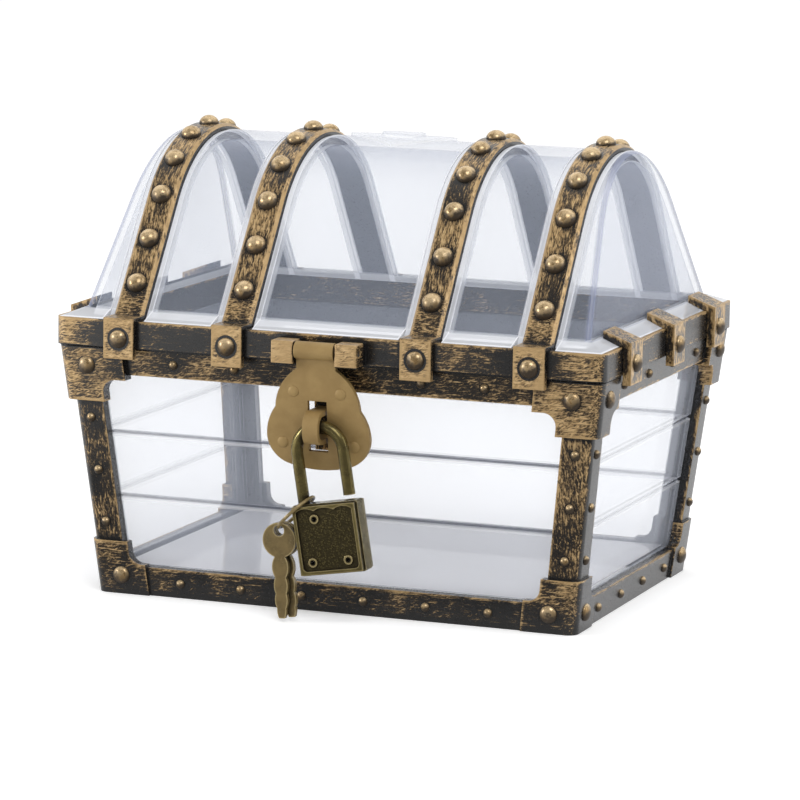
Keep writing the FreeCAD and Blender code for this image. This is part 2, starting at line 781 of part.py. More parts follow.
def make_lid_dome():
    low, high = s.rim_top, s.arch_centre + s.panel_radius + s.overrun
    ends = end_block("dome_ends", low, high, ZERO)
    skin = common("dome_skin", arch("dome_arch", s.panel_radius, low, s.rim_length), ends)

    def is_end_edge(edge):
        ends = [v.Point for v in edge.Vertexes]
        lean = math.tan(math.radians(s.dome_lean.number))

        def on_end(point):
            return abs(abs(point.x) + (point.z - low.number) * lean - s.dome_length.number / 2) < CLOSE

        level = all(abs(point.z - low.number) < CLOSE for point in ends)
        same_end = ends[0].x * ends[-1].x > 0
        return same_end and not level and all(on_end(point) for point in ends)

    skin = rounded("dome_skin_round", skin, s.dome_edge, is_end_edge)
    foot_top = low + s.foot_rise
    foot_out, foot_in = foot_ends()
    foot = tapered_block(
        "dome_foot",
        (low, foot_out, s.rim_depth / 2 - s.foot_inset),
        (foot_top, foot_in, arch_side(s.panel_radius, foot_top)),
    )
    plaque_body = new_body("plaque_prism")
    half_x, half_y = s.plaque_length / 2, s.plaque_depth / 2
    lozenge = [(-half_x, ZERO), (ZERO, -half_y), (half_x, ZERO), (ZERO, half_y)]
    outline = profile(plaque_body, "XY_Plane", "plaque_outline", lozenge, s.arch_centre)
    pad(plaque_body, outline, "plaque_lozenge", s.panel_radius + s.overrun)
    plaque_arch = arch("plaque_arch", s.panel_radius + s.plaque_raise, low, s.plaque_length)
    plaque = common("dome_plaque", plaque_arch, plaque_body)
    boss_rod = rod("boss_rod", s.boss_radius, s.panel_radius + s.overrun, z=s.arch_centre)
    boss_arch = arch("boss_arch", s.panel_radius + s.boss_raise, low, s.plaque_length)
    boss = common("dome_boss", boss_arch, boss_rod)

    inner_radius = s.panel_radius - s.channel_depth - s.dome_wall
    cavity = common(
        "dome_cavity",
        arch("cavity_arch", inner_radius, low - s.overrun, s.rim_length),
        end_block("cavity_ends", low - s.overrun, high, s.dome_wall),
    )
    narrow = s.strap_width / 2 + s.strap_gap
    channel = strap_channels("channel", narrow, s.channel_depth, low, high)
    step = strap_channels("channel_step", narrow + s.channel_step_width, s.channel_step_depth, low, high)
    return cut("lid_dome", fuse("lid_dome_solid", [skin, foot, plaque, boss]), cavity, channel, step)


def strap_channels(name, half, depth, low, high):
    """The tool that sinks a band of the given half width into the dome along each strap."""
    runs = []
    for number, x in enumerate(strap_places(), start=1):
        span = (x - half, x + half)
        runs.append(box(f"{name}_run_{number}", span, (-s.rim_depth, s.rim_depth), (low - s.overrun, high)))
    floor = arch(f"{name}_floor", s.panel_radius - depth, low - s.overrun, s.rim_length)
    return cut(f"{name}_tool", fuse(f"{name}_runs", runs), floor)


# Straps over the dome, each an arch with a tab that hooks over the rim in front and behind


def strap_places():
    return [-s.strap_outer_place, -s.strap_inner_place, s.strap_inner_place, s.strap_outer_place]


def make_strap(number, x):
    name = f"strap_{number}"
    body = new_body(f"{name}_band")
    outer = s.panel_radius + s.strap_proud
    inner = s.panel_radius - s.channel_depth + s.strap_seat
    low = s.rim_top
    ledge = low + s.tab_ledge
    back = s.rim_depth / 2 + s.strap_seat
    front = s.rim_depth / 2 + s.tab_proud
    bottom = s.rim_bottom - s.tab_drop
    (out_y, out_z), (in_y, in_z) = arch_shoulder(outer), arch_shoulder(inner)
    right = [
        (out_y, out_z), (arch_side(outer, ledge), ledge), (front, ledge),
        (front, bottom), (back, bottom), (back, low), (arch_side(inner, low), low),
    ]
    corners = right + [(in_y, in_z, inner), (-in_y, in_z)]
    corners += [(-y, z) for y, z in reversed(right)]
    corners[-1] = (-out_y, out_z, -outer)
    outline = profile(body, "YZ_Plane", f"{name}_outline", corners)
    band = pad(body, outline, f"{name}_run", s.strap_width, symmetric=True)
    doc.recompute()

    def is_outer_edge(edge):
        ends = [v.Point for v in edge.Vertexes]
        if abs(ends[0].x - ends[-1].x) > CLOSE:
            return False
        middle = edge.valueAt((edge.FirstParameter + edge.LastParameter) / 2)
        if middle.z > out_z.number:
            reach = math.hypot(middle.y, middle.z - s.arch_centre.number)
            return abs(reach - outer.number) < CLOSE
        if middle.z < ledge.number + CLOSE:
            return False
        lean = math.tan(math.radians(s.arch_angle.number))
        side = out_y.number + (out_z.number - middle.z) / lean
        return abs(abs(middle.y) - side) < CLOSE

    edges = [f"Edge{n}" for n, e in enumerate(band.Shape.Edges, start=1) if is_outer_edge(e)]
    bevel = body.newObject("PartDesign::Chamfer", f"{name}_bevel")
    bevel.Base = (band, edges)
    bind(bevel, Size=s.strap_bevel)
    body.Tip = bevel
    bind(body, Placement__Base__x=x)

    heads = []
    head = (s.rivet_radius, s.rivet_crown, s.rivet_height)
    for step in range(-3, 4):
        angle = s.rivet_step * step
        across, up = sine(angle), cosine(angle)
        at = (x, outer * across, s.arch_centre + outer * up)
        heads.append(rivet(f"{name}_crown_rivet_{step + 4}", *head, at, (0, across, up)))
    small = (s.tab_rivet_radius, s.tab_rivet_radius * CROWN_SHARE, s.tab_rivet_height)
    for end, side in (("front", -1), ("back", 1)):
        across, up = sine(s.arch_angle) * side, cosine(s.arch_angle)
        for step in (1, 2):
            down = s.rivet_pitch * step
            y = (out_y + cosine(s.arch_angle) * down) * side
            at = (x, y, out_z - sine(s.arch_angle) * down)
            heads.append(rivet(f"{name}_{end}_rivet_{step}", *head, at, (0, across, up)))
        at = (x, front * side, ledge - s.tab_rivet_drop)
        heads.append(rivet(f"{name}_{end}_tab_rivet", *small, at, (0, side, 0)))
    return fuse(name, [body, *heads])


# Brackets that hook the dome's foot to the rim at the two ends


def make_bracket(name, side, y):
    body = new_body(f"{name}_hook")
    rim, seat, low = s.rim_length / 2, s.strap_seat, s.rim_top
    bottom = s.rim_bottom - s.tab_drop
    outer = rim + s.bracket_proud
    inner = outer - s.bracket_reach
    foot_out, foot_in = foot_ends()
    slope = s.foot_rise / (foot_out - foot_in)
    corners = [
        (rim + seat, bottom), (outer, bottom), (outer, low + s.bracket_shoulder),
        (inner, low + s.bracket_rise), (inner, low + seat + (foot_out - inner) * slope),
        (foot_out, low + seat), (rim + seat, low + seat),
    ]
    outline = profile(body, "XZ_Plane", f"{name}_outline", corners)
    pad(body, outline, f"{name}_run", s.bracket_width, symmetric=True)
    crown = s.tab_rivet_radius * CROWN_SHARE
    at = (outer, ZERO, low + s.tab_ledge - s.tab_rivet_drop)
    head = rivet(f"{name}_rivet", s.tab_rivet_radius, crown, s.tab_rivet_height, at, (1, 0, 0))
    bracket = fuse(name, [body, head])
    return place(bracket, y=y, turn=Rotation(Vector(0, 0, 1), 0 if side > 0 else 180))


# Hasp plate, leaning with the chest's front


def make_hasp_plate():
    body = new_body("hasp_leaf")
    neck, shoulder, lobe = s.hasp_neck / 2, s.hasp_shoulder_width / 2, s.hasp_lobe_width / 2
    toe = s.hasp_toe_width / 2
    corners = [
        (-neck, ZERO), (-neck, -s.hasp_neck_drop, s.hasp_shoulder_round),
        (-shoulder, -s.hasp_shoulder_drop, s.hasp_lobe_round),
        (-lobe, -s.hasp_lobe_drop, s.hasp_heel_round),
        (-toe, -s.hasp_toe_drop, s.hasp_toe_round),
        (toe, -s.hasp_toe_drop, s.hasp_heel_round),
        (lobe, -s.hasp_lobe_drop, s.hasp_lobe_round),
        (shoulder, -s.hasp_shoulder_drop, s.hasp_shoulder_round),
        (neck, -s.hasp_neck_drop), (neck, ZERO),
    ]
    outline = profile(body, "XZ_Plane", "hasp_outline", corners, s.hasp_face)
    half, low = s.hasp_slot_width / 2, s.hasp_slot_top + s.hasp_slot_length
    add_loop(outline, [(-half, -low), (half, -low), (half, -s.hasp_slot_top), (-half, -s.hasp_slot_top)])
    leaf = pad(body, outline, "hasp_sheet", s.hasp_thickness)
    leaf.Reversed = True
    half = s.hasp_knuckle_length / 2
    barrel = rod("hasp_barrel", s.hasp_knuckle_radius, s.hasp_knuckle_length, -half, turn=ALONG_X)
    free = s.hasp_pin_radius + s.running_clearance
    bore = rod("hasp_bore", free, s.rim_depth, -s.rim_depth / 2, turn=ALONG_X)
    plate = cut("hasp_plate", fuse("hasp_solid", [body, barrel]), bore)
    y, z = hasp_pivot()
    return place(plate, y=y, z=z, turn=Rotation(Vector(1, 0, 0), s.hasp_lean.number))


def make_hasp_pin():
    y, z = hasp_pivot()
    reach = s.hasp_knuckle_length / 2 + s.lug_width
    return rod("hasp_pin", s.hasp_pin_radius, reach * 2, -reach, y, z, ALONG_X)


def make_hinge_pin(name, side):
    y, z = hinge_axis()
    reach = s.lid_knuckle / 2 + s.knuckle_gap + s.base_knuckle
    return rod(name, s.hinge_pin_radius, reach * 2, s.hinge_place * side - reach, y, z, ALONG_X)


# Padlock, hung open on the staple; its own axes start at the middle of the shackle's bow


def side_of(longest, other):
    """The third side of a right-angled triangle."""
    number = math.sqrt(longest.number**2 - other.number**2)
    return Size(f"sqrt(({longest.text})^2 - ({other.text})^2)", number)


def bow_height():
    """Height of the bow's middle when the bow rests on the corner of the staple's lower leg."""
    seat = s.staple_bottom + s.staple_thickness + s.shackle_slack
    return seat - side_of(s.shackle_spacing / 2 - s.shackle_radius, s.staple_width / 2 + s.shackle_aside)


def lock_place(obj):
    """Hangs a piece that is drawn about the shackle's bow on the staple."""
    turn = Rotation(Vector(0, 1, 0), -s.lock_tilt.number)
    return place(obj, s.shackle_aside, -s.shackle_plane, bow_height(), turn)


def lock_point(x, z):
    """Where a point of the padlock's own axes lies in the chest, as X and Z."""
    along, across = cosine(s.lock_tilt), sine(s.lock_tilt)
    return s.shackle_aside + x * along - z * across, bow_height() + x * across + z * along


def make_shackle():
    bow = place(doc.addObject("Part::Torus", "shackle_bow"), turn=WEDGE_UPRIGHT)
    bind(bow, Radius1=s.shackle_spacing / 2, Radius2=s.shackle_radius)
    bow.Angle3 = 180
    half = s.shackle_spacing / 2
    long_leg = rod("shackle_long_leg", s.shackle_radius, s.shackle_long, -half, ZERO, -s.shackle_long)
    short_leg = rod("shackle_short_leg", s.shackle_radius, s.shackle_short, half, ZERO, -s.shackle_short)
    return lock_place(fuse("shackle", [bow, long_leg, short_leg]))


def lock_rivet_places():
    """Upper left, lower left and lower right rivets on the padlock's own axes."""
    half, foot = s.lock_width / 2, -s.lock_top - s.lock_height
    upper = (-half + s.upper_lock_rivet_side, -s.lock_top - s.upper_lock_rivet_drop)
    aside, low = half - s.lower_lock_rivet_side, foot + s.lower_lock_rivet_rise
    return [upper, (-aside, low), (aside, low)]


def rivet_rods(name, radius, flip=1):
    """Three rods along Y through the whole padlock at its rivets; flip is -1 for the rear plate."""
    reach = s.lock_core_thickness + s.lock_plate_thickness * 2
    places = enumerate(lock_rivet_places(), start=1)
    return [rod(f"{name}_{n}", radius, reach, x * flip, -reach / 2, z, ALONG_Y) for n, (x, z) in places]


def make_lock_core():
    half, thick = s.lock_width / 2, s.lock_core_thickness / 2
    low, high = -s.lock_top - s.lock_height, -s.lock_top
    block = box("lock_block", (-half, half), (-thick, thick), (low, high))

    def along_thickness(edge):
        run = edge.lastVertex().Point - edge.firstVertex().Point
        return abs(run.y) > max(abs(run.x), abs(run.z))

    block = rounded("lock_block_round", block, s.lock_edge, along_thickness)
    leg, bore = s.shackle_spacing / 2, s.shackle_radius + s.shackle_clearance
    tools = [
        rod("long_leg_bore", bore, s.lock_long_bore + s.overrun, -leg, ZERO, high - s.lock_long_bore),
        rod("short_leg_bore", bore, s.lock_short_bore + s.overrun, leg, ZERO, high - s.lock_short_bore),
        rod("plug_bore", s.plug_radius + s.running_clearance, s.plug_length + s.overrun, z=low - s.overrun),
    ]
    tools += rivet_rods("core_rivet_hole", s.lock_rivet_radius + s.pin_hold)
    return lock_place(cut("lock_core", block, *tools))


def arc_over(half, rise):
    """The radius of an arc that rises so much over a stretch of twice the half."""
    return (half * half / rise + rise) / 2


def make_lock_plate(name, side):
    """A face plate with a sunk field whose upper edge is scalloped; side is -1 in front and 1 behind."""
    body = new_body(f"{name}_sheet")
    half = s.lock_width / 2 - s.lock_plate_inset
    low, high = -s.lock_top - s.lock_height + s.lock_plate_inset, -s.lock_top - s.lock_plate_inset
    face = s.lock_core_thickness / 2 + s.lock_plate_thickness
    outline = [(-half, low), (half, low), (half, high), (-half, high)]
    square = profile(body, "XZ_Plane", f"{name}_outline", outline, face)
    blank = pad(body, square, f"{name}_blank", s.lock_plate_thickness)
    blank.Reversed = True
    in_x, in_low, brow = half - s.lock_border, low + s.lock_border, high - s.lock_brow
    lobe, corner = in_x * SCALLOP_SHARE, s.lock_field_round
    outer, middle = arc_over((in_x - lobe) / 2, s.lock_scallop), arc_over(lobe, s.lock_scallop)
    field = [
        (-in_x + corner, in_low), (in_x - corner, in_low, corner),
        (in_x, in_low + corner), (in_x, brow, outer),
        (lobe, brow, middle), (-lobe, brow, outer),
        (-in_x, brow), (-in_x, in_low + corner, corner),
    ]
    recess = profile(body, "XZ_Plane", f"{name}_field", field, face)
    pocket(body, recess, f"{name}_recess", s.lock_recess)
    plate = cut(name, body, *rivet_rods(f"{name}_hole", s.lock_rivet_radius + s.pin_hold, -side))
    lock_place(plate)
    if side > 0:
        turn = plate.Placement.Rotation * Rotation(Vector(0, 0, 1), 180)
        plate.Placement = Placement(plate.Placement.Base, turn)
    return plate


def make_lock_rivets():
    floor = s.lock_core_thickness / 2 + s.lock_plate_thickness - s.lock_recess
    reach, rise = floor * 2, s.lock_rivet_rise
    rivets = []
    for number, (x, z) in enumerate(lock_rivet_places(), start=1):
        shank = rod(f"lock_shank_{number}", s.lock_rivet_radius, reach, x, -floor, z, ALONG_Y)
        front = rod(f"lock_head_front_{number}", s.lock_rivet_head, rise, x, -floor - rise, z, ALONG_Y)
        rear = rod(f"lock_head_rear_{number}", s.lock_rivet_head, rise, x, floor, z, ALONG_Y)
        solid = fuse(f"lock_rivet_solid_{number}", [shank, front, rear])
        start = -floor - s.overrun
        eye = rod(f"lock_rivet_eye_{number}", s.lock_rivet_bore, s.overrun * 2 + reach, x, start, z, ALONG_Y)
        rivets.append(cut(f"lock_rivet_{number}", solid, eye))
    group = doc.addObject("Part::Compound", "lock_rivets")
    group.Links = rivets
    return lock_place(group)


def make_lock_plug():
    low = -s.lock_top - s.lock_height
    barrel = rod("plug_barrel", s.plug_radius, s.plug_length - s.running_clearance, z=low)
    half, wide = s.keyway_width / 2, s.plug_radius * KEYWAY_SHARE
    keyway = box("keyway", (-half, half), (-wide, wide), (low - s.overrun, low + s.keyway_depth))
    return lock_place(cut("lock_plug", barrel, keyway))


# Wire ring round the shackle's long leg, and two flat keys that hang on it


def ring_end():
    """The ring's upper end, which lies on the padlock's top beside the long leg."""
    x, z = lock_point(-s.shackle_spacing / 2, -s.lock_top)
    return x + s.ring_beside, z + s.ring_above


def key_pivot():
    """The ring's lower end, where the keys hang."""
    x, z = ring_end()
    return x - s.ring_radius * 2 * cosine(s.ring_slope), z - s.ring_radius * 2 * sine(s.ring_slope)


def make_key_ring():
    ring = doc.addObject("Part::Torus", "key_ring")
    bind(ring, Radius1=s.ring_radius, Radius2=s.ring_wire)
    (x, z), (low_x, low_z) = ring_end(), key_pivot()
    slope = math.radians(s.ring_slope.number)
    turn = Rotation(Vector(0, 0, 1), Vector(math.sin(slope), 0, -math.cos(slope)))
    return place(ring, (x + low_x) / 2, -s.shackle_plane, (z + low_z) / 2, turn)


def make_key(name, y, tilt):
    """A stamped key: a round bow with a hole, and a blade with a scalloped edge on both sides."""
    body = new_body(name)
    bow, neck = s.key_bow_radius, s.key_neck / 2
    start = -s.key_bow_drop - side_of(bow, neck)
    reach = s.key_length + start
    levels = [start - reach * share for share in KEY_NOTCH_SHARES]
    halves = [neck, neck, neck * KEY_TIP_SHARE]
    right = [(half, level) for half, level in zip(halves, levels)]
    tip = (neck * KEY_POINT_SHARE, -s.key_length)
    round_off = s.key_scallop
    corners = [(-neck, start, round_off)]
    corners += [(-half, level, round_off) for half, level in right]
    corners += [(-tip[0], tip[1]), (tip[0], tip[1], round_off)]
    corners += [(half, level, round_off) for half, level in reversed(right)]
    corners += [(neck, start, bow)]
    top = (ZERO, bow - s.key_bow_drop, bow)
    corners.append(top)
    outline = profile(body, "XZ_Plane", f"{name}_outline", corners)
    hole_drop = s.key_hole_radius - s.ring_wire - s.key_hang
    add_circle(outline, s.key_hole_radius, ZERO, -hole_drop)
    pad(body, outline, f"{name}_sheet", s.key_thickness, symmetric=True)
    x, z = key_pivot()
    return place(body, x, y, z, Rotation(Vector(0, 1, 0), -tilt.number))


nodes = [make_base_frame(), make_base_tub(), make_staple()]
nodes += [make_hinge_pin("hinge_pin_left", -1), make_hinge_pin("hinge_pin_right", 1)]
nodes += [make_lid_rim(), make_lid_dome()]
nodes += [make_strap(number, x) for number, x in enumerate(strap_places(), start=1)]
for end, side in (("left", -1), ("right", 1)):
    for number, y in enumerate((-s.bracket_place, ZERO, s.bracket_place), start=1):
        nodes.append(make_bracket(f"end_bracket_{end}_{number}", side, y))
nodes += [make_hasp_plate(), make_hasp_pin()]
nodes += [make_shackle(), make_lock_core()]
nodes += [make_lock_plate("lock_front_plate", -1), make_lock_plate("lock_rear_plate", 1)]
nodes += [make_lock_rivets(), make_lock_plug(), make_key_ring()]
nodes.append(make_key("key_1", -s.shackle_plane - s.key_spacing / 2, s.key_tilt_front))
nodes.append(make_key("key_2", -s.shackle_plane + s.key_spacing / 2, s.key_tilt_rear))

doc.recompute()
failed = [o.Name for o in doc.Objects if {"Invalid", "Error"} & set(o.State)]
if failed:
    raise RuntimeError(f"failed objects: {failed}")
os.makedirs("parts", exist_ok=True)
for node in nodes:
    node.Label = node.Name
    if node.Shape.isNull() or not node.Shape.isValid():
        raise RuntimeError(f"{node.Label} has no valid shape")
for node in nodes:
    node.Shape.exportStep(f"parts/{node.Label}.step")
    print(node.Label, len(node.Shape.Solids), round(node.Shape.Volume, 1))
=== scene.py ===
import math

import bmesh
import bpy
from mathutils import Matrix, Vector


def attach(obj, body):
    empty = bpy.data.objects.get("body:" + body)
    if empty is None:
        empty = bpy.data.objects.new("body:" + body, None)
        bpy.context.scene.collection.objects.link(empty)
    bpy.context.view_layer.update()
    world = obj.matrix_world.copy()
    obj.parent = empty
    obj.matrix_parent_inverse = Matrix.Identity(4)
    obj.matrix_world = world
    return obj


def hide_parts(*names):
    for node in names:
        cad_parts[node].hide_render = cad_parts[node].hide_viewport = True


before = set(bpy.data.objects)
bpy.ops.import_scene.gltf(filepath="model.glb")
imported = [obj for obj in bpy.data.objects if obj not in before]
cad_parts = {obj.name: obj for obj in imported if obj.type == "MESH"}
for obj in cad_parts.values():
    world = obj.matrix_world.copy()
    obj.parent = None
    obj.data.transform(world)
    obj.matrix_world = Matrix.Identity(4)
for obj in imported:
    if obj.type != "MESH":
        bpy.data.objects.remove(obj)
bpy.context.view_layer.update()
MM = 0.001


# Base frame. One tapered moulding of black plastic, with rails, posts, corner boots and hinge knuckles. It is
# dry-brushed with antique gold, so the paint sits on the edges and in streaks along each bar, and the black
# shows in the hollows. The clear tub drops into it from above.

TOP_LENGTH, TOP_DEPTH = 131.5 * MM, 96.7 * MM
FOOT_LENGTH, FOOT_DEPTH = 118.2 * MM, 84.6 * MM
BASE_HEIGHT = 59.7 * MM
POST_LOW, POST_HIGH = 12.8 * MM, 46.7 * MM
JOINT_LOW, JOINT_HIGH = 59.3 * MM, 60.3 * MM
BOOT_START, BOOT_FULL = 50 * MM, 56 * MM
END_TURN, END_FACE = 0.6, 0.95
BOOT_GOLD, FOOT_LOSS, END_LOSS = 0.16, 0.1, 0.34
ALONG_X, ALONG_Y, ALONG_Z = (95, 1050, 1050), (1050, 95, 1050), (900, 900, 110)
SLANT = (0.35, 0.3, 0.4)
EDGE_REACH, HOLLOW_REACH = 0.8 * MM, 1.8 * MM
MOULDED_ROUND = 0.35 * MM
MARK_DEPTH = 0.1 * MM
WELD = 1e-6
CREASE = math.radians(35)
INK = (0.009, 0.0085, 0.0085, 1)
GLAZE = (0.055, 0.038, 0.022, 1)
OLD_GOLD = (0.40, 0.25, 0.10, 1)
RUBBED_GOLD = (0.67, 0.47, 0.24, 1)


class Shade:
    """A socket of a material's nodes that Python's operators work on."""

    def __init__(self, tree, socket=None):
        self.tree = tree
        self.socket = socket

    def node(self, kind, settings=None, inputs=None, output=0):
        """Add a node, set it up, fill its sockets with values or links, and give one of its outputs."""
        node = self.tree.nodes.new(kind)
        for name, value in (settings or {}).items():
            setattr(node, name, value)
        for name, value in (inputs or {}).items():
            if isinstance(value, Shade):
                self.tree.links.new(value.socket, node.inputs[name])
            else:
                node.inputs[name].default_value = value
        return Shade(self.tree, node.outputs[output])

    def math(self, operation, *values):
        return self.node("ShaderNodeMath", {"operation": operation}, dict(enumerate(values)))

    def __add__(self, other):
        return self.math("ADD", self, other)

    def __sub__(self, other):
        return self.math("SUBTRACT", self, other)

    def __mul__(self, other):
        return self.math("MULTIPLY", self, other)

    def __pow__(self, other):
        return self.math("POWER", self, other)

    def __radd__(self, other):
        return self.math("ADD", other, self)

    def __rsub__(self, other):
        return self.math("SUBTRACT", other, self)

    def __rmul__(self, other):
        return self.math("MULTIPLY", other, self)

    def __abs__(self):
        return self.math("ABSOLUTE", self)

    def above(self, other):
        return self.math("GREATER_THAN", self, other)

    def below(self, other):
        return self.math("LESS_THAN", self, other)

    def rise(self, low, high):
        """0 below low, 1 above high, and a smooth step between them."""
        ends = {"Value": self, "From Min": low, "From Max": high}
        return self.node("ShaderNodeMapRange", {"interpolation_type": "SMOOTHSTEP"}, ends)

    def axis(self, name):
        return self.node("ShaderNodeSeparateXYZ", None, {0: self}, name)

    def times(self, scale):
        """A vector scaled along each axis."""
        return self.node("ShaderNodeVectorMath", {"operation": "MULTIPLY"}, {0: self, 1: scale})

    def colour(self, first, second):
        """Two colours mixed by this value."""
        return self.node("ShaderNodeMix", {"data_type": "RGBA"}, {0: self, 6: first, 7: second}, 2)

    def vector(self, first, second):
        """Two vectors mixed by this value."""
        return self.node("ShaderNodeMix", {"data_type": "VECTOR"}, {0: self, 4: first, 5: second}, 1)

    def noise(self, scale, detail=3.0, roughness=0.5):
        sizes = {"Vector": self, "Scale": scale, "Detail": detail, "Roughness": roughness}
        return self.node("ShaderNodeTexNoise", None, sizes)

    def to(self, surface, name):
        self.tree.links.new(self.socket, surface.inputs[name])


def new_finish(name):
    """A material, its Principled shader, and its wrapped Object coordinates."""
    finish = bpy.data.materials.new(name)
    finish.use_nodes = True
    surface = finish.node_tree.nodes["Principled BSDF"]
    return finish, surface, Shade(finish.node_tree).node("ShaderNodeTexCoord", output="Object")


def set_values(surface, **values):
    for name, value in values.items():
        surface.inputs[name.replace("_", " ")].default_value = value


def corner_wear(place, reach):
    """Near 0 on open faces and towards 1 at outer edges."""
    settings = {"inside": True, "only_local": True, "samples": 8}
    return 1 - place.node("ShaderNodeAmbientOcclusion", settings, {"Distance": reach}, "AO")


def hollows(place, reach):
    """Near 0 on open faces and towards 1 in corners and beside raised parts."""
    return 1 - place.node("ShaderNodeAmbientOcclusion", {"samples": 8}, {"Distance": reach}, "AO")


def aged_bronze(name, grain, cover, more=None):
    """Black plastic dry-brushed with gold. grain gives the brush marks' number per metre along each axis,
    cover the amount of gold all over, and more the gold that chosen places get on top of that."""
    finish, surface, place = new_finish(name)
    normal = place.node("ShaderNodeTexCoord", output="Normal")
    if callable(grain):
        grain = grain(place, normal)
    hairs = place.times(grain).noise(3.1, 4.0, 0.62)
    slant = place.node("ShaderNodeMapping", None, {"Vector": place, "Rotation": SLANT}).times(grain)
    cross_hairs = slant.noise(2.6, 4.0, 0.62) * 0.98
    touched = place.noise(120.0, 4.0, 0.6)
    speck = place.noise(2000.0, 2.0)
    edge = corner_wear(place, EDGE_REACH)
    hollow = hollows(place, HOLLOW_REACH)
    amount = cover + touched + edge * (0.1 + touched * 1.3) - hollow * 1.1
    if more:
        amount = amount + more(place, normal)
    strokes = hairs.math("MAXIMUM", hairs, cross_hairs)
    paint = amount + strokes * 2.0 + speck * 0.3
    haze = (amount + hairs * 0.8).rise(0.75, 1.3)
    gold = paint.rise(1.78, 2.14)
    full = amount.rise(0.85, 1.1)
    bright = paint.rise(1.9, 2.2) * strokes.rise(0.47, 0.64) * (1 - full * 0.75) + full * 0.32
    ground = gold.colour(haze.colour(INK, GLAZE), OLD_GOLD)
    bright.colour(ground, RUBBED_GOLD).to(surface, "Base Color")
    (gold * 0.35).to(surface, "Metallic")
    (0.2 + gold * 0.12 + speck * 0.12).to(surface, "Roughness")
    set_values(surface, IOR=1.55)
    soft = place.node("ShaderNodeBevel", {"samples": 4}, {"Radius": MOULDED_ROUND})
    relief = paint * (0.4 - full * 0.3) + speck * 0.4
    marks = {"Strength": 0.3, "Distance": MARK_DEPTH, "Height": relief, "Normal": soft}
    place.node("ShaderNodeBump", None, marks).to(surface, "Normal")
    return finish


def bar_grain(place, normal):
    """Brush marks that run along each bar: x in front, y at the ends and z on the posts."""
    z = place.axis("Z")
    post = z.above(POST_LOW) * z.below(POST_HIGH)
    end = abs(normal.axis("X")).above(END_TURN)
    return post.vector(end.vector(ALONG_X, ALONG_Y), ALONG_Z)


def welded(node, name):
    """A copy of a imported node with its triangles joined, smooth over rounds and sharp at corners."""
    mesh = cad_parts[node].data.copy()
    mesh.name = name
    work = bmesh.new()
    work.from_mesh(mesh)
    bmesh.ops.remove_doubles(work, verts=work.verts, dist=WELD)
    work.to_mesh(mesh)
    work.free()
    if "custom_normal" in mesh.attributes:
        mesh.attributes.remove(mesh.attributes["custom_normal"])
    mesh.shade_smooth()
    mesh.set_sharp_from_angle(angle=CREASE)
    mesh.materials.clear()
    piece = bpy.data.objects.new(name, mesh)
    bpy.context.scene.collection.objects.link(piece)
    return piece


def bar_gold(place, normal):
    """More gold on the boots, less on the bottom rail and the end faces, none in the joint under the lid."""
    z = place.axis("Z")
    foot = z.below(POST_LOW)
    boot = abs(place.axis("X")).rise(BOOT_START, BOOT_FULL) * (z.above(POST_HIGH) + foot)
    end = abs(normal.axis("X")).rise(END_TURN, END_FACE)
    return boot * BOOT_GOLD - foot * FOOT_LOSS - end * END_LOSS - z.above(JOINT_LOW)


bar_bronze = aged_bronze("bar_bronze", bar_grain, 0.07, bar_gold)
base_bars = welded("base_frame", "base_bars")
base_bars.data.materials.append(bar_bronze)
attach(base_bars, "base")
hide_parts("base_frame")


# Rivet heads of the base. Small domes are moulded along the rails and posts, and a larger one on each face
# of the eight corner boots. Each stands on a low round seat, and the brush has caught its crown; the tops
# also get a painted highlight and the undersides painted shade. Its sizes are the head's radius and height,
# then the seat's.

SMALL_HEAD = (1.1 * MM, 0.9 * MM, 1.0 * MM, 0.1 * MM)
BOOT_HEAD = (2.1 * MM, 1.15 * MM, 2.0 * MM, 0.1 * MM)
CROWN_GOLD = (0.30, 0.195, 0.085, 1)
CROWN_BRIGHT = (0.80, 0.60, 0.35, 1)
RIVET_HOLLOW_REACH, DENT_DEPTH = 1.2 * MM, 0.12 * MM
RAIL_RIVETS_X = (7.7 * MM, 23.1 * MM, 38.5 * MM)
TOP_RIVETS_Y = (9.3 * MM, 28.0 * MM)
FOOT_RIVETS_Y = (8.5 * MM, 25.5 * MM)
POST_RIVETS_Z = (17.3 * MM, 29.8 * MM, 42.4 * MM)
TOP_RAIL_Z, FOOT_RAIL_Z = 56.4 * MM, 3.4 * MM
POST_INSET_X, POST_INSET_Y = 3.8 * MM, 3.6 * MM
UPPER_BOOT_PROUD, LOWER_BOOT_PROUD = 1.6 * MM, 0.7 * MM
BOOT_RIVET_INSET, BOOT_RIVET_SIDE = 6.9 * MM, 6.2 * MM
UPPER_RIVET_DROP, LOWER_RIVET_RISE = 4.4 * MM, 4.6 * MM


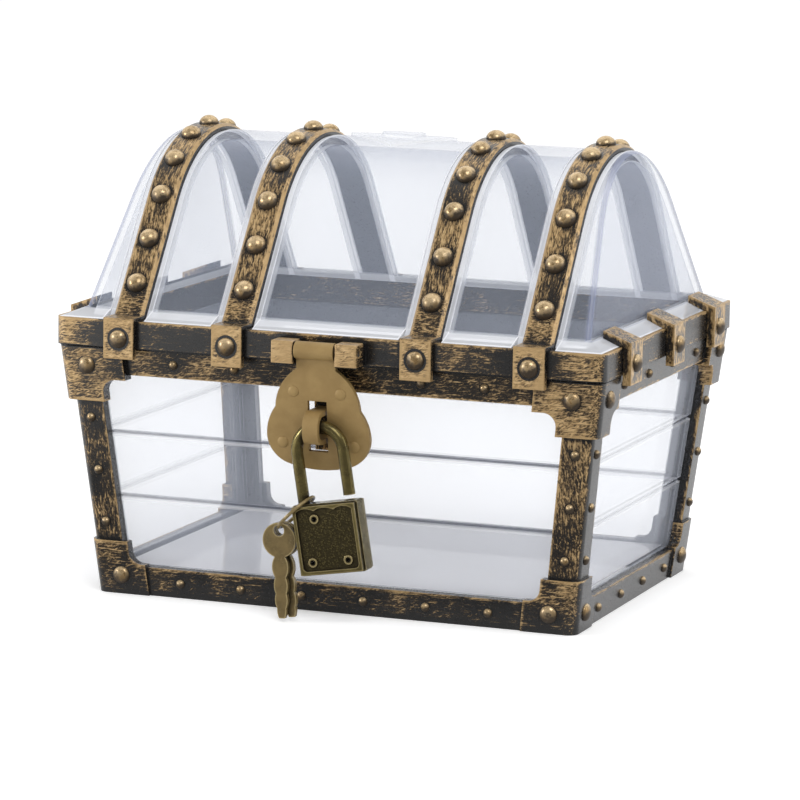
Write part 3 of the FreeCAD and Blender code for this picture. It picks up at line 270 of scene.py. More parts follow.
def rivet_tree():
    """The nodes that set a domed head on a round seat at every point, along its outward direction."""
    tree = bpy.data.node_groups.new("rivet_heads", "GeometryNodeTree")
    tree.interface.new_socket("Places", in_out="INPUT", socket_type="NodeSocketGeometry")
    for size in ("Radius", "Height", "Seat Radius", "Seat Height"):
        tree.interface.new_socket(size, in_out="INPUT", socket_type="NodeSocketFloat")
    tree.interface.new_socket("Finish", in_out="INPUT", socket_type="NodeSocketMaterial")
    tree.interface.new_socket("Heads", in_out="OUTPUT", socket_type="NodeSocketGeometry")

    def add(kind, inputs, **settings):
        node = tree.nodes.new(kind)
        for key, value in settings.items():
            setattr(node, key, value)
        for key, value in inputs.items():
            if isinstance(value, bpy.types.NodeSocket):
                tree.links.new(value, node.inputs[key])
            else:
                node.inputs[key].default_value = value
        return node.outputs

    given = tree.nodes.new("NodeGroupInput").outputs
    ball = add("GeometryNodeMeshUVSphere", {"Segments": 20, "Rings": 12, "Radius": 1.0})
    size = add("ShaderNodeCombineXYZ", {"X": given["Radius"], "Y": given["Radius"], "Z": given["Height"]})
    dome = add("GeometryNodeTransform", {"Geometry": ball["Mesh"], "Scale": size[0]})
    depth = add("ShaderNodeMath", {0: given["Seat Height"], 1: 2.0}, operation="MULTIPLY")
    round_seat = {"Vertices": 20, "Radius": given["Seat Radius"], "Depth": depth[0]}
    seat = add("GeometryNodeMeshCylinder", round_seat)
    smooth_dome = add("GeometryNodeSetShadeSmooth", {"Geometry": dome[0], "Shade Smooth": True})
    flat_seat = add("GeometryNodeSetShadeSmooth", {"Geometry": seat["Mesh"], "Shade Smooth": False})
    join = tree.nodes.new("GeometryNodeJoinGeometry")
    tree.links.new(smooth_dome[0], join.inputs[0])
    tree.links.new(flat_seat[0], join.inputs[0])
    outward = add("GeometryNodeInputNamedAttribute", {"Name": "outward"}, data_type="FLOAT_VECTOR")
    turn = add("FunctionNodeAlignRotationToVector", {"Vector": outward["Attribute"]}, axis="Z")
    spread = {"Points": given["Places"], "Instance": join.outputs[0], "Rotation": turn[0]}
    heads = add("GeometryNodeInstanceOnPoints", spread)
    real = add("GeometryNodeRealizeInstances", {"Geometry": heads[0]})
    done = add("GeometryNodeSetMaterial", {"Geometry": real[0], "Material": given["Finish"]})
    tree.links.new(done[0], tree.nodes.new("NodeGroupOutput").inputs[0])
    return tree


RIVETS = rivet_tree()


def rivet_heads(name, places, finish, radius, height, seat_radius, seat_height):
    """Heads at every (point, outward) as one plain mesh at the origin."""
    mesh = bpy.data.meshes.new(f"{name}_places")
    mesh.from_pydata([point for point, _ in places], [], [])
    outward = mesh.attributes.new("outward", "FLOAT_VECTOR", "POINT")
    outward.data.foreach_set("vector", [part for _, way in places for part in way])
    carrier = bpy.data.objects.new(f"{name}_places", mesh)
    bpy.context.scene.collection.objects.link(carrier)
    heads = carrier.modifiers.new("heads", "NODES")
    heads.node_group = RIVETS
    sizes = {"Radius": radius, "Height": height, "Seat Radius": seat_radius, "Seat Height": seat_height}
    sizes["Finish"] = finish
    for socket in RIVETS.interface.items_tree:
        if socket.name in sizes:
            heads[socket.identifier] = sizes[socket.name]
    grown = carrier.evaluated_get(bpy.context.evaluated_depsgraph_get())
    piece = bpy.data.objects.new(name, bpy.data.meshes.new_from_object(grown))
    carrier.modifiers.remove(heads)
    bpy.data.objects.remove(carrier)
    bpy.context.scene.collection.objects.link(piece)
    return piece


def half_length(z):
    return (FOOT_LENGTH + (TOP_LENGTH - FOOT_LENGTH) * z / BASE_HEIGHT) / 2


def half_depth(z):
    return (FOOT_DEPTH + (TOP_DEPTH - FOOT_DEPTH) * z / BASE_HEIGHT) / 2


FRONT_LEAN = math.atan2((TOP_DEPTH - FOOT_DEPTH) / 2, BASE_HEIGHT)
END_LEAN = math.atan2((TOP_LENGTH - FOOT_LENGTH) / 2, BASE_HEIGHT)


def on_front(x, z, side):
    """A point of the front or back face, and the face's outward direction."""
    return (x, side * half_depth(z), z), (0, side * math.cos(FRONT_LEAN), -math.sin(FRONT_LEAN))


def on_end(y, z, side):
    """A point of an end face, and the face's outward direction."""
    return (side * half_length(z), y, z), (side * math.cos(END_LEAN), 0, -math.sin(END_LEAN))


# The hasp covers the middle of the top rail in front, so no small heads stand there.
boot_levels = (
    (BASE_HEIGHT - UPPER_RIVET_DROP, UPPER_BOOT_PROUD),
    (LOWER_RIVET_RISE, LOWER_BOOT_PROUD),
)
small_places = []
boot_places = []
for side in (-1, 1):
    for z in (TOP_RAIL_Z, FOOT_RAIL_Z):
        for x in RAIL_RIVETS_X:
            if z == TOP_RAIL_Z and side < 0 and x == RAIL_RIVETS_X[0]:
                continue
            small_places += [on_front(x, z, side), on_front(-x, z, side)]
        for y in TOP_RIVETS_Y if z == TOP_RAIL_Z else FOOT_RIVETS_Y:
            small_places += [on_end(y, z, side), on_end(-y, z, side)]
    for hand in (-1, 1):
        for z in POST_RIVETS_Z:
            small_places.append(on_front(hand * (half_length(z) - POST_INSET_X), z, side))
            small_places.append(on_end(hand * (half_depth(z) - POST_INSET_Y), z, side))
        for z, proud in boot_levels:
            x, y = half_length(z) + proud, half_depth(z) + proud
            boot_places.append(((hand * (x - BOOT_RIVET_INSET), side * y, z), (0, side, 0)))
            boot_places.append(((side * x, hand * (y - BOOT_RIVET_SIDE), z), (side, 0, 0)))

rivet_bronze, surface, place = new_finish("rivet_bronze")
normal = place.node("ShaderNodeTexCoord", output="Normal")
cloud = place.noise(420.0, 4.0, 0.6)
speck = place.noise(1700.0, 2.0)
# Painted light: the undersides of the heads, and their sides that face the ends, get painted shade, and their
# tops get a painted highlight. The cloud adds real dirt, and the heads darken towards their hollows.
side_and_underside_shade = abs(normal.axis("X")) * 0.2 - normal.axis("Z") * 0.45
grime_and_hollows = cloud * 0.9 + hollows(place, RIVET_HOLLOW_REACH) * 0.5 + speck * 0.3
dirt_and_shade = (0.14 + side_and_underside_shade + grime_and_hollows).rise(0.6, 0.95)
crown_and_top_highlight = (cloud + speck * 0.4 + normal.axis("Z") * 0.15).rise(0.5, 0.95).colour(CROWN_GOLD, CROWN_BRIGHT)
dirt_and_shade.colour(crown_and_top_highlight, GLAZE).to(surface, "Base Color")
(0.6 - dirt_and_shade * 0.4).to(surface, "Metallic")
(0.22 + dirt_and_shade * 0.2 + speck * 0.1).to(surface, "Roughness")
dents = {"Strength": 0.3, "Distance": DENT_DEPTH, "Height": cloud + speck * 0.4}
place.node("ShaderNodeBump", None, dents).to(surface, "Normal")
bar_rivets = rivet_heads("bar_rivets", small_places, rivet_bronze, *SMALL_HEAD)
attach(bar_rivets, "base")
boot_rivets = rivet_heads("boot_rivets", boot_places, rivet_bronze, *BOOT_HEAD)
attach(boot_rivets, "base")


# Tub. A thin clear box moulded with raised window panes, with two grooves round it that mark the planks.
# It is polished, so it shows mostly as edges, faint haze and the grey of its floor; its edges and a line
# under each groove are painted white as painted highlights, and the grooves and the low edges by the floor
# carry slate painted shade. Under the floor the haze fades to nothing, which keeps the round pad there out of
# sight.

GROOVES = (38.9 * MM, 23.5 * MM)
GROOVE_HALF = 0.36 * MM
GROOVE_HIGHLIGHT_DROP = 0.8 * MM
FLOOR_LOW, FLOOR_HIGH = 5.5 * MM, 6.7 * MM
LOW_EDGE_TOP = 7.9 * MM
TUB_ROUND = 0.5 * MM
TUB_HAZE = (0.78, 0.83, 0.95, 1)
TUB_HIGHLIGHT = (0.95, 0.96, 1.0, 1)
TUB_SHADE_SLATE = (0.09, 0.10, 0.14, 1)
TUB_FLOOR_GREY = (0.95, 0.94, 0.98, 1)


def rounded_edges(place, radius, gain):
    """0 on open faces and 1 at the edges of a clear wall, which catch the light."""
    soft = place.node("ShaderNodeBevel", {"samples": 8}, {"Radius": radius})
    normal = place.node("ShaderNodeNewGeometry", output="Normal")
    facing = place.node("ShaderNodeVectorMath", {"operation": "DOT_PRODUCT"}, {0: soft, 1: normal}, "Value")
    return ((1 - facing) * gain).rise(0.0, 1.0)


def polish(surface):
    set_values(surface, Roughness=0.07, IOR=1.49)


tub_clear, surface, place = new_finish("tub_clear")
polish(surface)
z = place.axis("Z")
slope = place.node("ShaderNodeLayerWeight", None, {"Blend": 0.3}, "Facing")
tub_edge = rounded_edges(place, TUB_ROUND, 3.0)
groove_shade = sum(1 - abs(z - level).rise(GROOVE_HALF * 0.5, GROOVE_HALF) for level in GROOVES)
groove_highlight = sum(1 - abs(z - level + GROOVE_HIGHLIGHT_DROP).rise(GROOVE_HALF * 0.5, GROOVE_HALF) for level in GROOVES)
normal = place.node("ShaderNodeTexCoord", output="Normal")
flat = abs(normal.axis("Z")).above(0.7)
faint = 1 - abs(normal.axis("X")).above(END_TURN) * 0.7
on_floor = flat * z.above(FLOOR_LOW) * z.below(FLOOR_HIGH)
low_edge_shade = tub_edge * z.below(LOW_EDGE_TOP)
scuff = place.times((1, 1, 2.2)).noise(420.0, 6.0, 0.7).rise(0.62, 0.8)
# Painted light: white painted highlights on the edges and on a line just under each groove, and slate painted
# shade in the grooves and along the edges near the floor.
tint = (groove_highlight + tub_edge).colour(on_floor.colour(TUB_HAZE, TUB_FLOOR_GREY), TUB_HIGHLIGHT)
(groove_shade + low_edge_shade).colour(tint, TUB_SHADE_SLATE).to(surface, "Base Color")
marks = (groove_shade * 0.45 + groove_highlight * 0.22) * faint + tub_edge * 0.2 + low_edge_shade * 0.25
veil = (0.12 + slope ** 2.5 * 0.45 + marks + scuff * 0.015) * z.rise(0.0, FLOOR_LOW) + on_floor * 0.5
veil.to(surface, "Alpha")
tub = welded("base_tub", "tub")
tub.data.materials.append(tub_clear)
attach(tub, "base")
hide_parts("base_tub")


# Staple. A strip of sheet metal bent to a loop and painted flat antique gold; its two ends sit in slots in
# the tongue of the frame.

SHEET_GOLD = (0.31, 0.20, 0.072, 1)
SHEET_LIGHT = (0.40, 0.27, 0.105, 1)
SHEET_DARK = (0.11, 0.066, 0.026, 1)
SHEET_EDGE, SHEET_HOLLOW = 0.4 * MM, 1.5 * MM
METAL_ROUND = 0.2 * MM
PAINT_DEPTH = 0.05 * MM
SCRATCH_GRAIN = (260, 260, 2600)


def painted_gold(name):
    """Flat gold paint on sheet metal, paler where handling polishes the edges, darker in its hollows."""
    finish, surface, place = new_finish(name)
    cloud = place.noise(190.0, 4.0, 0.6)
    grit = place.noise(2400.0, 2.0)
    scratch = place.times(SCRATCH_GRAIN).noise(1.0, 4.0, 0.7).rise(0.6, 0.72)
    edge = corner_wear(place, SHEET_EDGE).rise(0.12, 0.5)
    hollow = hollows(place, SHEET_HOLLOW)
    base = cloud.rise(0.25, 0.8).colour(SHEET_GOLD, SHEET_LIGHT)
    worn = (edge * 0.35 + scratch * 0.35).colour(base, SHEET_LIGHT)
    hollow.rise(0.25, 0.85).colour(worn, SHEET_DARK).to(surface, "Base Color")
    (0.42 + grit * 0.16 + scratch * 0.1).to(surface, "Roughness")
    set_values(surface, Metallic=0.2)
    soft = place.node("ShaderNodeBevel", {"samples": 4}, {"Radius": METAL_ROUND})
    marks = {"Strength": 0.25, "Distance": PAINT_DEPTH, "Height": grit * 0.6 + cloud, "Normal": soft}
    place.node("ShaderNodeBump", None, marks).to(surface, "Normal")
    return finish


sheet_gold = painted_gold("sheet_gold")
staple_loop = welded("staple", "staple_loop")
staple_loop.data.materials.append(sheet_gold)
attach(staple_loop, "base")
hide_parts("staple")


# Pins. Plain drawn steel wire, cut to length and pressed into the knuckles of the two rear hinges and of
# the hasp's hinge; only their ends show.

STEEL = (0.50, 0.48, 0.45, 1)
STEEL_DULL = (0.26, 0.25, 0.24, 1)
WIRE_GRAIN = (120, 3000, 3000)

pin_steel, surface, place = new_finish("pin_steel")
drawn = place.times(WIRE_GRAIN).noise(1.0, 3.0)
drawn.rise(0.3, 0.7).colour(STEEL_DULL, STEEL).to(surface, "Base Color")
(0.3 + drawn * 0.2).to(surface, "Roughness")
set_values(surface, Metallic=1.0)
for node, body in (("hinge_pin_left", "base"), ("hinge_pin_right", "base"), ("hasp_pin", "lid")):
    pin = welded(node, f"{node}_wire")
    pin.data.materials.append(pin_steel)
    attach(pin, body)
    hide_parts(node)


# Lid rim. A bronzed plastic ring, open underneath, that overhangs the frame; the hasp's lugs stand on its
# front, the middle knuckles of the hinges behind. Brushed along its length, darkest of the mouldings.

LUG_REACH, LUG_ROOT = 11 * MM, -52.2 * MM
RIM_END_START, RIM_END_FULL = 56 * MM, 66 * MM
RIM_EDGE_LOW, RIM_EDGE_HIGH = 65.2 * MM, 66.2 * MM


def rim_gold(place, normal):
    """Gold hasp lugs, rim ends and upper edge, little gold between them, none in the joint below."""
    x, z = abs(place.axis("X")), place.axis("Z")
    lug = x.below(LUG_REACH) * place.axis("Y").below(LUG_ROOT)
    corner, top = x.rise(RIM_END_START, RIM_END_FULL), z.rise(RIM_EDGE_LOW, RIM_EDGE_HIGH)
    end = abs(normal.axis("X")).rise(END_TURN, END_FACE)
    return lug * 0.5 + corner * 0.3 + top * 0.15 - end * END_LOSS - z.below(JOINT_HIGH)


rim_bronze = aged_bronze("rim_bronze", bar_grain, -0.04, rim_gold)
lid_ring = welded("lid_rim", "lid_ring")
lid_ring.data.materials.append(rim_bronze)
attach(lid_ring, "lid")
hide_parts("lid_rim")


# Dome. The clear arched top of the lid, one moulding with leaning ends, sunk channels where the straps lie,
# a sloping foot and a raised lozenge with a round boss on its crown. Bluish at its rims and edges. Its edges,
# the strips on both sides of each strap and its foot are painted white, as painted highlights.

DOME_HAZE = (0.70, 0.77, 0.92, 1)
DOME_RIM = (0.32, 0.36, 0.52, 1)
DOME_HIGHLIGHT = (0.93, 0.95, 1.0, 1)
DOME_LOW, DOME_END = 66.5 * MM, 62.7 * MM
DOME_LEAN = math.tan(math.radians(7.5))
DOME_FOOT_LOW, DOME_FOOT_HIGH = 68.1 * MM, 68.5 * MM
CORNER_START, CORNER_FULL = DOME_END - 1.9 * MM, DOME_END - 1.1 * MM
STRAP_HIGHLIGHT_START, STRAP_HIGHLIGHT_FULL, STRAP_HIGHLIGHT_FADE, STRAP_HIGHLIGHT_END = 3.8 * MM, 4.2 * MM, 5.0 * MM, 5.7 * MM
DOME_ROUND = 0.75 * MM
DOME_GRAIN = (900, 160, 160)
SIDE_TURN, SIDE_FACE = 0.75, 0.95
STRAP_X = (23.25 * MM, 50.5 * MM)


def beside_strap(place):
    """How far a point lies from the middle of the nearest strap, along the lid."""
    x = abs(place.axis("X"))
    inner, outer = (abs(x - middle) for middle in STRAP_X)
    return x.math("MINIMUM", inner, outer)


dome_clear, surface, place = new_finish("dome_clear")
polish(surface)
off = beside_strap(place)
strap_side_highlight = off.rise(STRAP_HIGHLIGHT_START, STRAP_HIGHLIGHT_FULL) * (1 - off.rise(STRAP_HIGHLIGHT_FADE, STRAP_HIGHLIGHT_END))
side = abs(place.node("ShaderNodeTexCoord", output="Normal").axis("X"))
foot = 1 - place.axis("Z").rise(DOME_FOOT_LOW, DOME_FOOT_HIGH)
reach = abs(place.axis("X")) + (place.axis("Z") - DOME_LOW) * DOME_LEAN
corner = reach.rise(CORNER_START, CORNER_FULL) * (1 - side.rise(SIDE_TURN, SIDE_FACE)) * (1 - foot)
slope = place.node("ShaderNodeLayerWeight", None, {"Blend": 0.3}, "Facing")
dome_edge = rounded_edges(place, DOME_ROUND, 5.0)
scratch = place.times(DOME_GRAIN).noise(1.0, 5.0, 0.75).rise(0.66, 0.78)
tint = (slope ** 1.6 + corner).colour(DOME_HAZE, DOME_RIM)
# Painted highlights: the edges, the strips beside each strap and the sloping foot are painted white and made
# more opaque.
(dome_edge + strap_side_highlight + foot).colour(tint, DOME_HIGHLIGHT).to(surface, "Base Color")
rims = dome_edge * 0.4 + strap_side_highlight * 0.52 + foot * 0.45 + corner * 0.38
veil = 0.1 + slope ** 2.0 * 0.55 + rims + scratch * 0.015
veil.to(surface, "Alpha")
dome = welded("lid_dome", "dome")
dome.data.materials.append(dome_clear)
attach(dome, "lid")
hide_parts("lid_dome")


# Straps. Four bronzed plastic arches over the dome, bevelled along their edges and brushed with much more
# gold than the frame; each ends in a square tab that hooks over the rim, in front and behind.

TAB_RIVET_Z = 62.4 * MM
RING_RADIUS = 2.75 * MM
TAB_RISE = 4.6 * MM
FLAT_END_Z = 74.5 * MM
ALONG_ARCH, ACROSS_ARCH = (1000, 160, 160), (200, 900, 900)
BEVEL_START, BEVEL_FULL = 0.25, 0.45
STRAP_SIDE = 0.8


def strap_grain(place, normal):
    """Brush marks along the arch, and across it on the last flat bit above the tab."""
    return place.axis("Z").below(FLAT_END_Z).vector(ALONG_ARCH, ACROSS_ARCH)


def strap_gold(place, normal):
    """Patchy gold on the bevels, dark sides, gold tabs, and a dark ring round the head on each tab."""
    turn = abs(normal.axis("X"))
    side = turn.rise(STRAP_SIDE, END_FACE)
    patches = place.noise(220.0, 4.0, 0.65).rise(0.3, 0.6)
    bevel = turn.rise(BEVEL_START, BEVEL_FULL) * (1 - side) * patches
    up = place.axis("Z") - TAB_RIVET_Z
    off = beside_strap(place)
    ring = (off * off + up * up).below(RING_RADIUS * RING_RADIUS)
    return bevel * 0.35 - side * 0.4 - ring * 1.2 + up.below(TAB_RISE) * 0.25


strap_bronze = aged_bronze("strap_bronze", strap_grain, 0.2, strap_gold)
for number in (1, 2, 3, 4):
    strap = welded(f"strap_{number}", f"strap_band_{number}")
    strap.data.materials.append(strap_bronze)
    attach(strap, "lid")
    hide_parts(f"strap_{number}")


# Rivet heads of the straps. Eleven tall domes along each arch and one lower dome on each tab, moulded with
# the strap; their crowns are rubbed to bare gold, and like the base's heads they get a painted highlight on
# top and painted shade underneath.

ARCH_CENTRE_Z = 73.8 * MM
STRAP_RADIUS = 34.6 * MM
SHOULDER = math.radians(54.5)
RIVET_STEP = math.radians(18.2)
RIVET_PITCH = 12.0 * MM
TAB_FACE_Y = 52.6 * MM
STRAP_HEAD = (2.4 * MM, 2.0 * MM, 2.3 * MM, 0.1 * MM)
TAB_HEAD = (2.15 * MM, 1.35 * MM, 2.0 * MM, 0.1 * MM)

arch_places = []
tab_places = []
for x in (-STRAP_X[1], -STRAP_X[0], STRAP_X[0], STRAP_X[1]):
    for step in range(-3, 4):
        across, up = math.sin(RIVET_STEP * step), math.cos(RIVET_STEP * step)
        point = (x, STRAP_RADIUS * across, ARCH_CENTRE_Z + STRAP_RADIUS * up)
        arch_places.append((point, (0, across, up)))
    for side in (-1, 1):
        across, up = math.sin(SHOULDER), math.cos(SHOULDER)
        for step in (1, 2):
            y = STRAP_RADIUS * across + RIVET_PITCH * step * up
            z = ARCH_CENTRE_Z + STRAP_RADIUS * up - RIVET_PITCH * step * across
            arch_places.append(((x, side * y, z), (0, side * across, up)))
        tab_places.append(((x, side * TAB_FACE_Y, TAB_RIVET_Z), (0, side, 0)))

strap_rivets = rivet_heads("strap_rivets", arch_places, rivet_bronze, *STRAP_HEAD)
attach(strap_rivets, "lid")
tab_rivets = rivet_heads("tab_rivets", tab_places, rivet_bronze, *TAB_HEAD)
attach(tab_rivets, "lid")


# End brackets. Three bronzed hooks at each end of the lid, with sloping shoulders that hold the dome's foot
# down on the rim, and one rivet head each.

BRACKET_Y = (-33 * MM, 0, 33 * MM)
BRACKET_FACE_X = 69.75 * MM
HOOK_HEAD = (2.1 * MM, 1.3 * MM, 2.0 * MM, 0.1 * MM)
HOOK_GRAIN = (420, 420, 130)

hook_bronze = aged_bronze("hook_bronze", HOOK_GRAIN, 0.26)
hook_places = []
for side, hand in ((-1, "left"), (1, "right")):
    for number, y in enumerate(BRACKET_Y, start=1):
        hook = welded(f"end_bracket_{hand}_{number}", f"hook_{hand}_{number}")
        hook.data.materials.append(hook_bronze)
        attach(hook, "lid")
        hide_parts(f"end_bracket_{hand}_{number}")
        hook_places.append(((side * BRACKET_FACE_X, y, TAB_RIVET_Z), (side, 0, 0)))
hook_rivets = rivet_heads("hook_rivets", hook_places, rivet_bronze, *HOOK_HEAD)
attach(hook_rivets, "lid")


# Hasp. A leaf of sheet metal, painted gold as the staple is, rolled round its pin at the top and slotted to
# drop over the staple. Four small dimples are punched in it from behind, and stand a little proud.

HASP_PIVOT = Vector((0, -55.0 * MM, 63.4 * MM))
HASP_LEAN = math.radians(7.0)
HASP_FRONT = -0.3 * MM
DIMPLES = ((5.8 * MM, 9.9 * MM), (8.8 * MM, 22.2 * MM))
DIMPLE = (1.35 * MM, 0.35 * MM, 1.2 * MM, 0.05 * MM)

hasp_leaf = welded("hasp_plate", "hasp_leaf")
hasp_leaf.data.materials.append(sheet_gold)
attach(hasp_leaf, "hasp")
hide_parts("hasp_plate")

hasp_out = Vector((0, -math.cos(HASP_LEAN), -math.sin(HASP_LEAN)))
hasp_down = Vector((0, math.sin(HASP_LEAN), -math.cos(HASP_LEAN)))
dimple_places = []
for side in (-1, 1):
    for x, drop in DIMPLES:
        point = HASP_PIVOT + hasp_down * drop - hasp_out * HASP_FRONT + Vector((side * x, 0, 0))
        dimple_places.append((point, hasp_out))
dimples = rivet_heads("hasp_dimples", dimple_places, sheet_gold, *DIMPLE)
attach(dimples, "hasp")


# Padlock. A small brass lock built in layers: a core between two face plates, held by three tubular rivets,
# with a turning plug below and a bent-rod shackle. Aged dark, bright where it rubs; the faces are pebbled.

BRASS = (0.27, 0.215, 0.075, 1)
BRASS_BRIGHT = (0.62, 0.50, 0.25, 1)
BRASS_DARK = (0.028, 0.022, 0.012, 1)
LOCK_MIDDLE_Y = -55.3 * MM
FIELD_DEPTH = 3.0 * MM
PEBBLES = 2100.0
BRASS_EDGE, BRASS_HOLLOW = 0.5 * MM, 1.6 * MM
TUBES = ((1.444 * MM, 24.997 * MM), (1.320 * MM, 14.837 * MM), (9.999 * MM, 16.289 * MM))
TUBE_MOUTH = 0.68 * MM


def aged_brass(name, age, pebbles=0.0, tone=BRASS, shine=0.75, tubes=False):
    """Brass with dark age in its hollows and bright edges. age moves the whole towards dark, pebbles is the
    number of them per metre in the sunk field, and tubes paints shade into the mouths of the tubular rivets."""
    finish, surface, place = new_finish(name)
    cloud = place.noise(300.0, 5.0, 0.68)
    grit = place.noise(1900.0, 2.0)
    edge = corner_wear(place, BRASS_EDGE).rise(0.1, 0.5)
    hollow = hollows(place, BRASS_HOLLOW)
    dark = (age + hollow * 1.1 + cloud * 0.9 - edge * 0.5).rise(0.25, 1.1)
    height = grit * 0.6 + cloud * 0.4
    if pebbles:
        field = abs(place.axis("Y") - LOCK_MIDDLE_Y).below(FIELD_DEPTH)
        stone = place.node("ShaderNodeTexVoronoi", None, {"Vector": place, "Scale": pebbles}, "Distance")
        dark = dark.math("MAXIMUM", dark, field * (stone.rise(0.1, 0.5) * 0.45 + 0.42))
        height = height + field * (1 - stone) * 2.5
    if tubes:
        for x, z in TUBES:
            across, up = place.axis("X") - x, place.axis("Z") - z
            # Painted shade: the mouth of each tubular rivet is painted dark.
            mouth_shade = (across * across + up * up).below(TUBE_MOUTH * TUBE_MOUTH)
            dark = dark.math("MAXIMUM", dark, mouth_shade)
    bright = (edge * 0.8 + (grit * cloud).rise(0.3, 0.5) * 0.4).colour(tone, BRASS_BRIGHT)
    dark.colour(bright, BRASS_DARK).to(surface, "Base Color")
    (0.13 + dark * 0.15 + grit * 0.08).to(surface, "Roughness")
    set_values(surface, Metallic=shine)
    soft = place.node("ShaderNodeBevel", {"samples": 4}, {"Radius": METAL_ROUND})
    marks = {"Strength": 0.35, "Distance": MARK_DEPTH, "Height": height, "Normal": soft}
    place.node("ShaderNodeBump", None, marks).to(surface, "Normal")
    return finish


lock_brass = aged_brass("lock_brass", 0.22)
face_brass = aged_brass("face_brass", 0.18, PEBBLES)
rod_brass = aged_brass("rod_brass", 0.2)
tube_brass = aged_brass("tube_brass", 0.1, tubes=True)
layers = (
    ("shackle", "shackle_rod", "shackle", rod_brass),
    ("lock_core", "lock_middle", "lock", lock_brass),
    ("lock_front_plate", "lock_front", "lock", face_brass),
    ("lock_rear_plate", "lock_back", "lock", face_brass),
    ("lock_rivets", "lock_tube_rivets", "lock", tube_brass),
    ("lock_plug", "lock_barrel", "plug", lock_brass),
)
for node, name, body, finish in layers:
    layer = welded(node, name)
    layer.data.materials.append(finish)
    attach(layer, body)
    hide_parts(node)


# Ring and keys. Two flat stamped brass keys hang by the holes in their bows on a thin split wire ring,
# which is threaded round the padlock's shackle.

KEY_BRASS = (0.27, 0.195, 0.085, 1)

key_brass = aged_brass("key_brass", 0.04, tone=KEY_BRASS, shine=0.35)
hanging = (
    ("key_ring", "wire_ring", "ring"),
    ("key_1", "key_front", "front_key"),
    ("key_2", "key_rear", "rear_key"),
)
for node, name, body in hanging:
    key = welded(node, name)
    key.data.materials.append(key_brass)
    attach(key, body)
    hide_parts(node)


# Studio. A white floor and white surroundings, a large soft lamp above the front right, a weaker one at the
# right and a small low one at the left. In reflections alone, the floor and the surroundings in front are
# darker, as if black card stood there, so that black bars stay black. Not part of the object.

FLOOR_REACH = 30.0
FLOOR_LEVEL = -0.05 * MM
FLOOR_WHITE = (0.93, 0.93, 0.93, 1)
FLOOR_PALE = (0.95, 0.95, 0.95, 1)
FLOOR_GLOW = 0.34
CARD_LEFT, CARD_RIGHT = -0.15, -0.09
CARD_NEAR, CARD_FAR = 0.02, 0.07
CARD_DARK = 0.75
BLACK, WHITE = (0, 0, 0, 1), (1, 1, 1, 1)
LAMP_AIM = Vector((0, 0, 0.05))
CAMERA_YAW, CAMERA_PITCH, CAMERA_ROLL = 0.3593, 0.1601, 0.0164
CAMERA_TARGET = Vector((11.945 * MM, -31.677 * MM, 49.536 * MM))
CAMERA_DISTANCE = 1005.66 * MM
CAMERA_LENS, CAMERA_SENSOR = 194.58, 36.0

floor_mesh = bpy.data.meshes.new("floor")
corners = [(x * FLOOR_REACH, y * FLOOR_REACH, FLOOR_LEVEL) for x, y in ((-1, -1), (1, -1), (1, 1), (-1, 1))]
floor_mesh.from_pydata(corners, [], [(0, 1, 2, 3)])
floor = bpy.data.objects.new("floor", floor_mesh)
bpy.context.scene.collection.objects.link(floor)
floor_white, surface, place = new_finish("floor_white")
set_values(surface, Roughness=0.9, Specular_IOR_Level=0.0)
cloud = place.noise(0.4, 2.0)
white = cloud.colour(FLOOR_WHITE, FLOOR_PALE)
mirrored = place.node("ShaderNodeLightPath", output="Is Glossy Ray")
direct = place.node("ShaderNodeLightPath", output="Is Camera Ray")
direct = direct + place.node("ShaderNodeLightPath", output="Is Transmission Ray")
card = place.axis("X").rise(CARD_LEFT, CARD_RIGHT) * (0 - place.axis("Y")).rise(CARD_NEAR, CARD_FAR)
(mirrored * card * CARD_DARK).colour(white, BLACK).to(surface, "Base Color")
(direct + mirrored * (1 - card)).colour(BLACK, WHITE).to(surface, "Emission Color")
set_values(surface, Emission_Strength=FLOOR_GLOW)
floor_mesh.materials.append(floor_white)

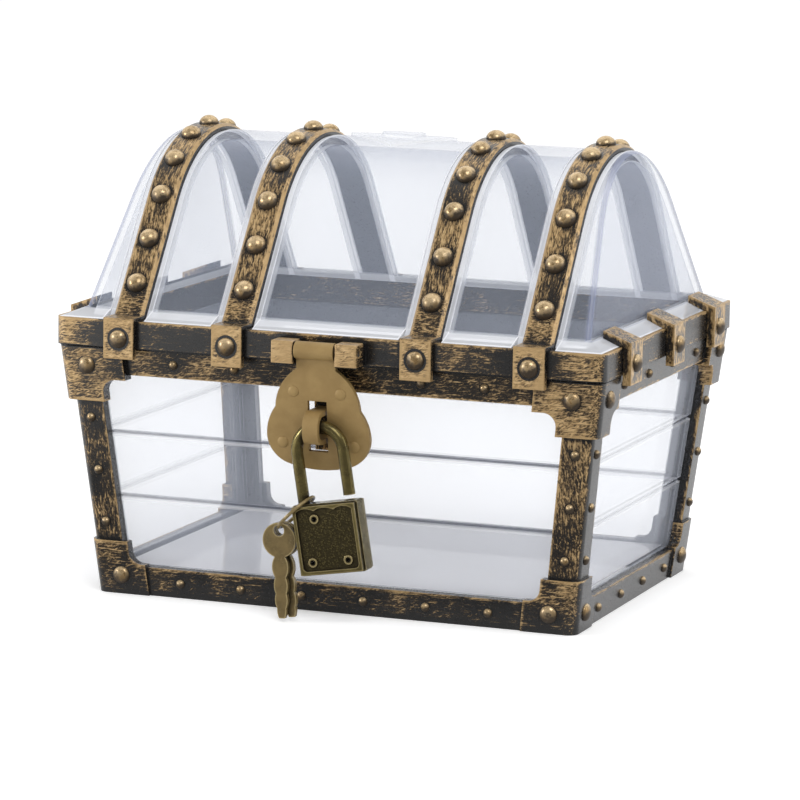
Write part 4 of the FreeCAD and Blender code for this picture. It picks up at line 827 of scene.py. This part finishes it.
world = bpy.data.worlds.new("studio")
bpy.context.scene.world = world
world.use_nodes = True
tree = world.node_tree
path = Shade(tree).node("ShaderNodeLightPath", output="Is Camera Ray")
glossy = path.node("ShaderNodeLightPath", output="Is Glossy Ray")
seen = glossy + path + path.node("ShaderNodeLightPath", output="Is Transmission Ray")
seen = seen.math("MINIMUM", seen, 1.0)
front = 0 - path.node("ShaderNodeTexCoord", output="Generated").axis("Y")
dark_card = front.rise(-0.25, 0.5) * glossy * (1 - path) * 0.78
dim_front = front.rise(0.2, 0.85) * (1 - seen) * 0.4
strength = (seen * 0.25 + 0.75) * (1 - dark_card - dim_front)
strength.to(tree.nodes["Background"], "Strength")
tree.nodes["Background"].inputs["Color"].default_value = WHITE


def lamp(name, at, size, power):
    """A square soft lamp that looks at the chest."""
    light = bpy.data.lights.new(name, "AREA")
    light.size = size
    light.energy = power
    holder = bpy.data.objects.new(name, light)
    holder.location = at
    holder.rotation_euler = (LAMP_AIM - Vector(at)).to_track_quat("-Z", "Y").to_euler()
    bpy.context.scene.collection.objects.link(holder)


lamp("key_lamp", (0.6, -1.0, 1.3), 0.8, 8.0)
lamp("side_lamp", (1.5, 0.1, 0.7), 0.7, 3.0)
lamp("low_lamp", (-1.0, -0.6, 0.3), 0.28, 4.0)

back = Vector((
    math.sin(CAMERA_YAW) * math.cos(CAMERA_PITCH),
    -math.cos(CAMERA_YAW) * math.cos(CAMERA_PITCH),
    math.sin(CAMERA_PITCH),
))
level = Vector((math.cos(CAMERA_YAW), math.sin(CAMERA_YAW), 0))
plumb = back.cross(level)
right = level * math.cos(CAMERA_ROLL) + plumb * math.sin(CAMERA_ROLL)
up = plumb * math.cos(CAMERA_ROLL) - level * math.sin(CAMERA_ROLL)
eye = CAMERA_TARGET + back * CAMERA_DISTANCE
camera = bpy.data.objects.new("camera", bpy.data.cameras.new("camera"))
camera.data.lens = CAMERA_LENS
camera.data.sensor_width = CAMERA_SENSOR
camera.matrix_world = Matrix((
    (right.x, up.x, back.x, eye.x),
    (right.y, up.y, back.y, eye.y),
    (right.z, up.z, back.z, eye.z),
    (0, 0, 0, 1),
))
bpy.context.scene.collection.objects.link(camera)
bpy.context.scene.camera = camera
bpy.context.scene.view_settings.view_transform = "Standard"
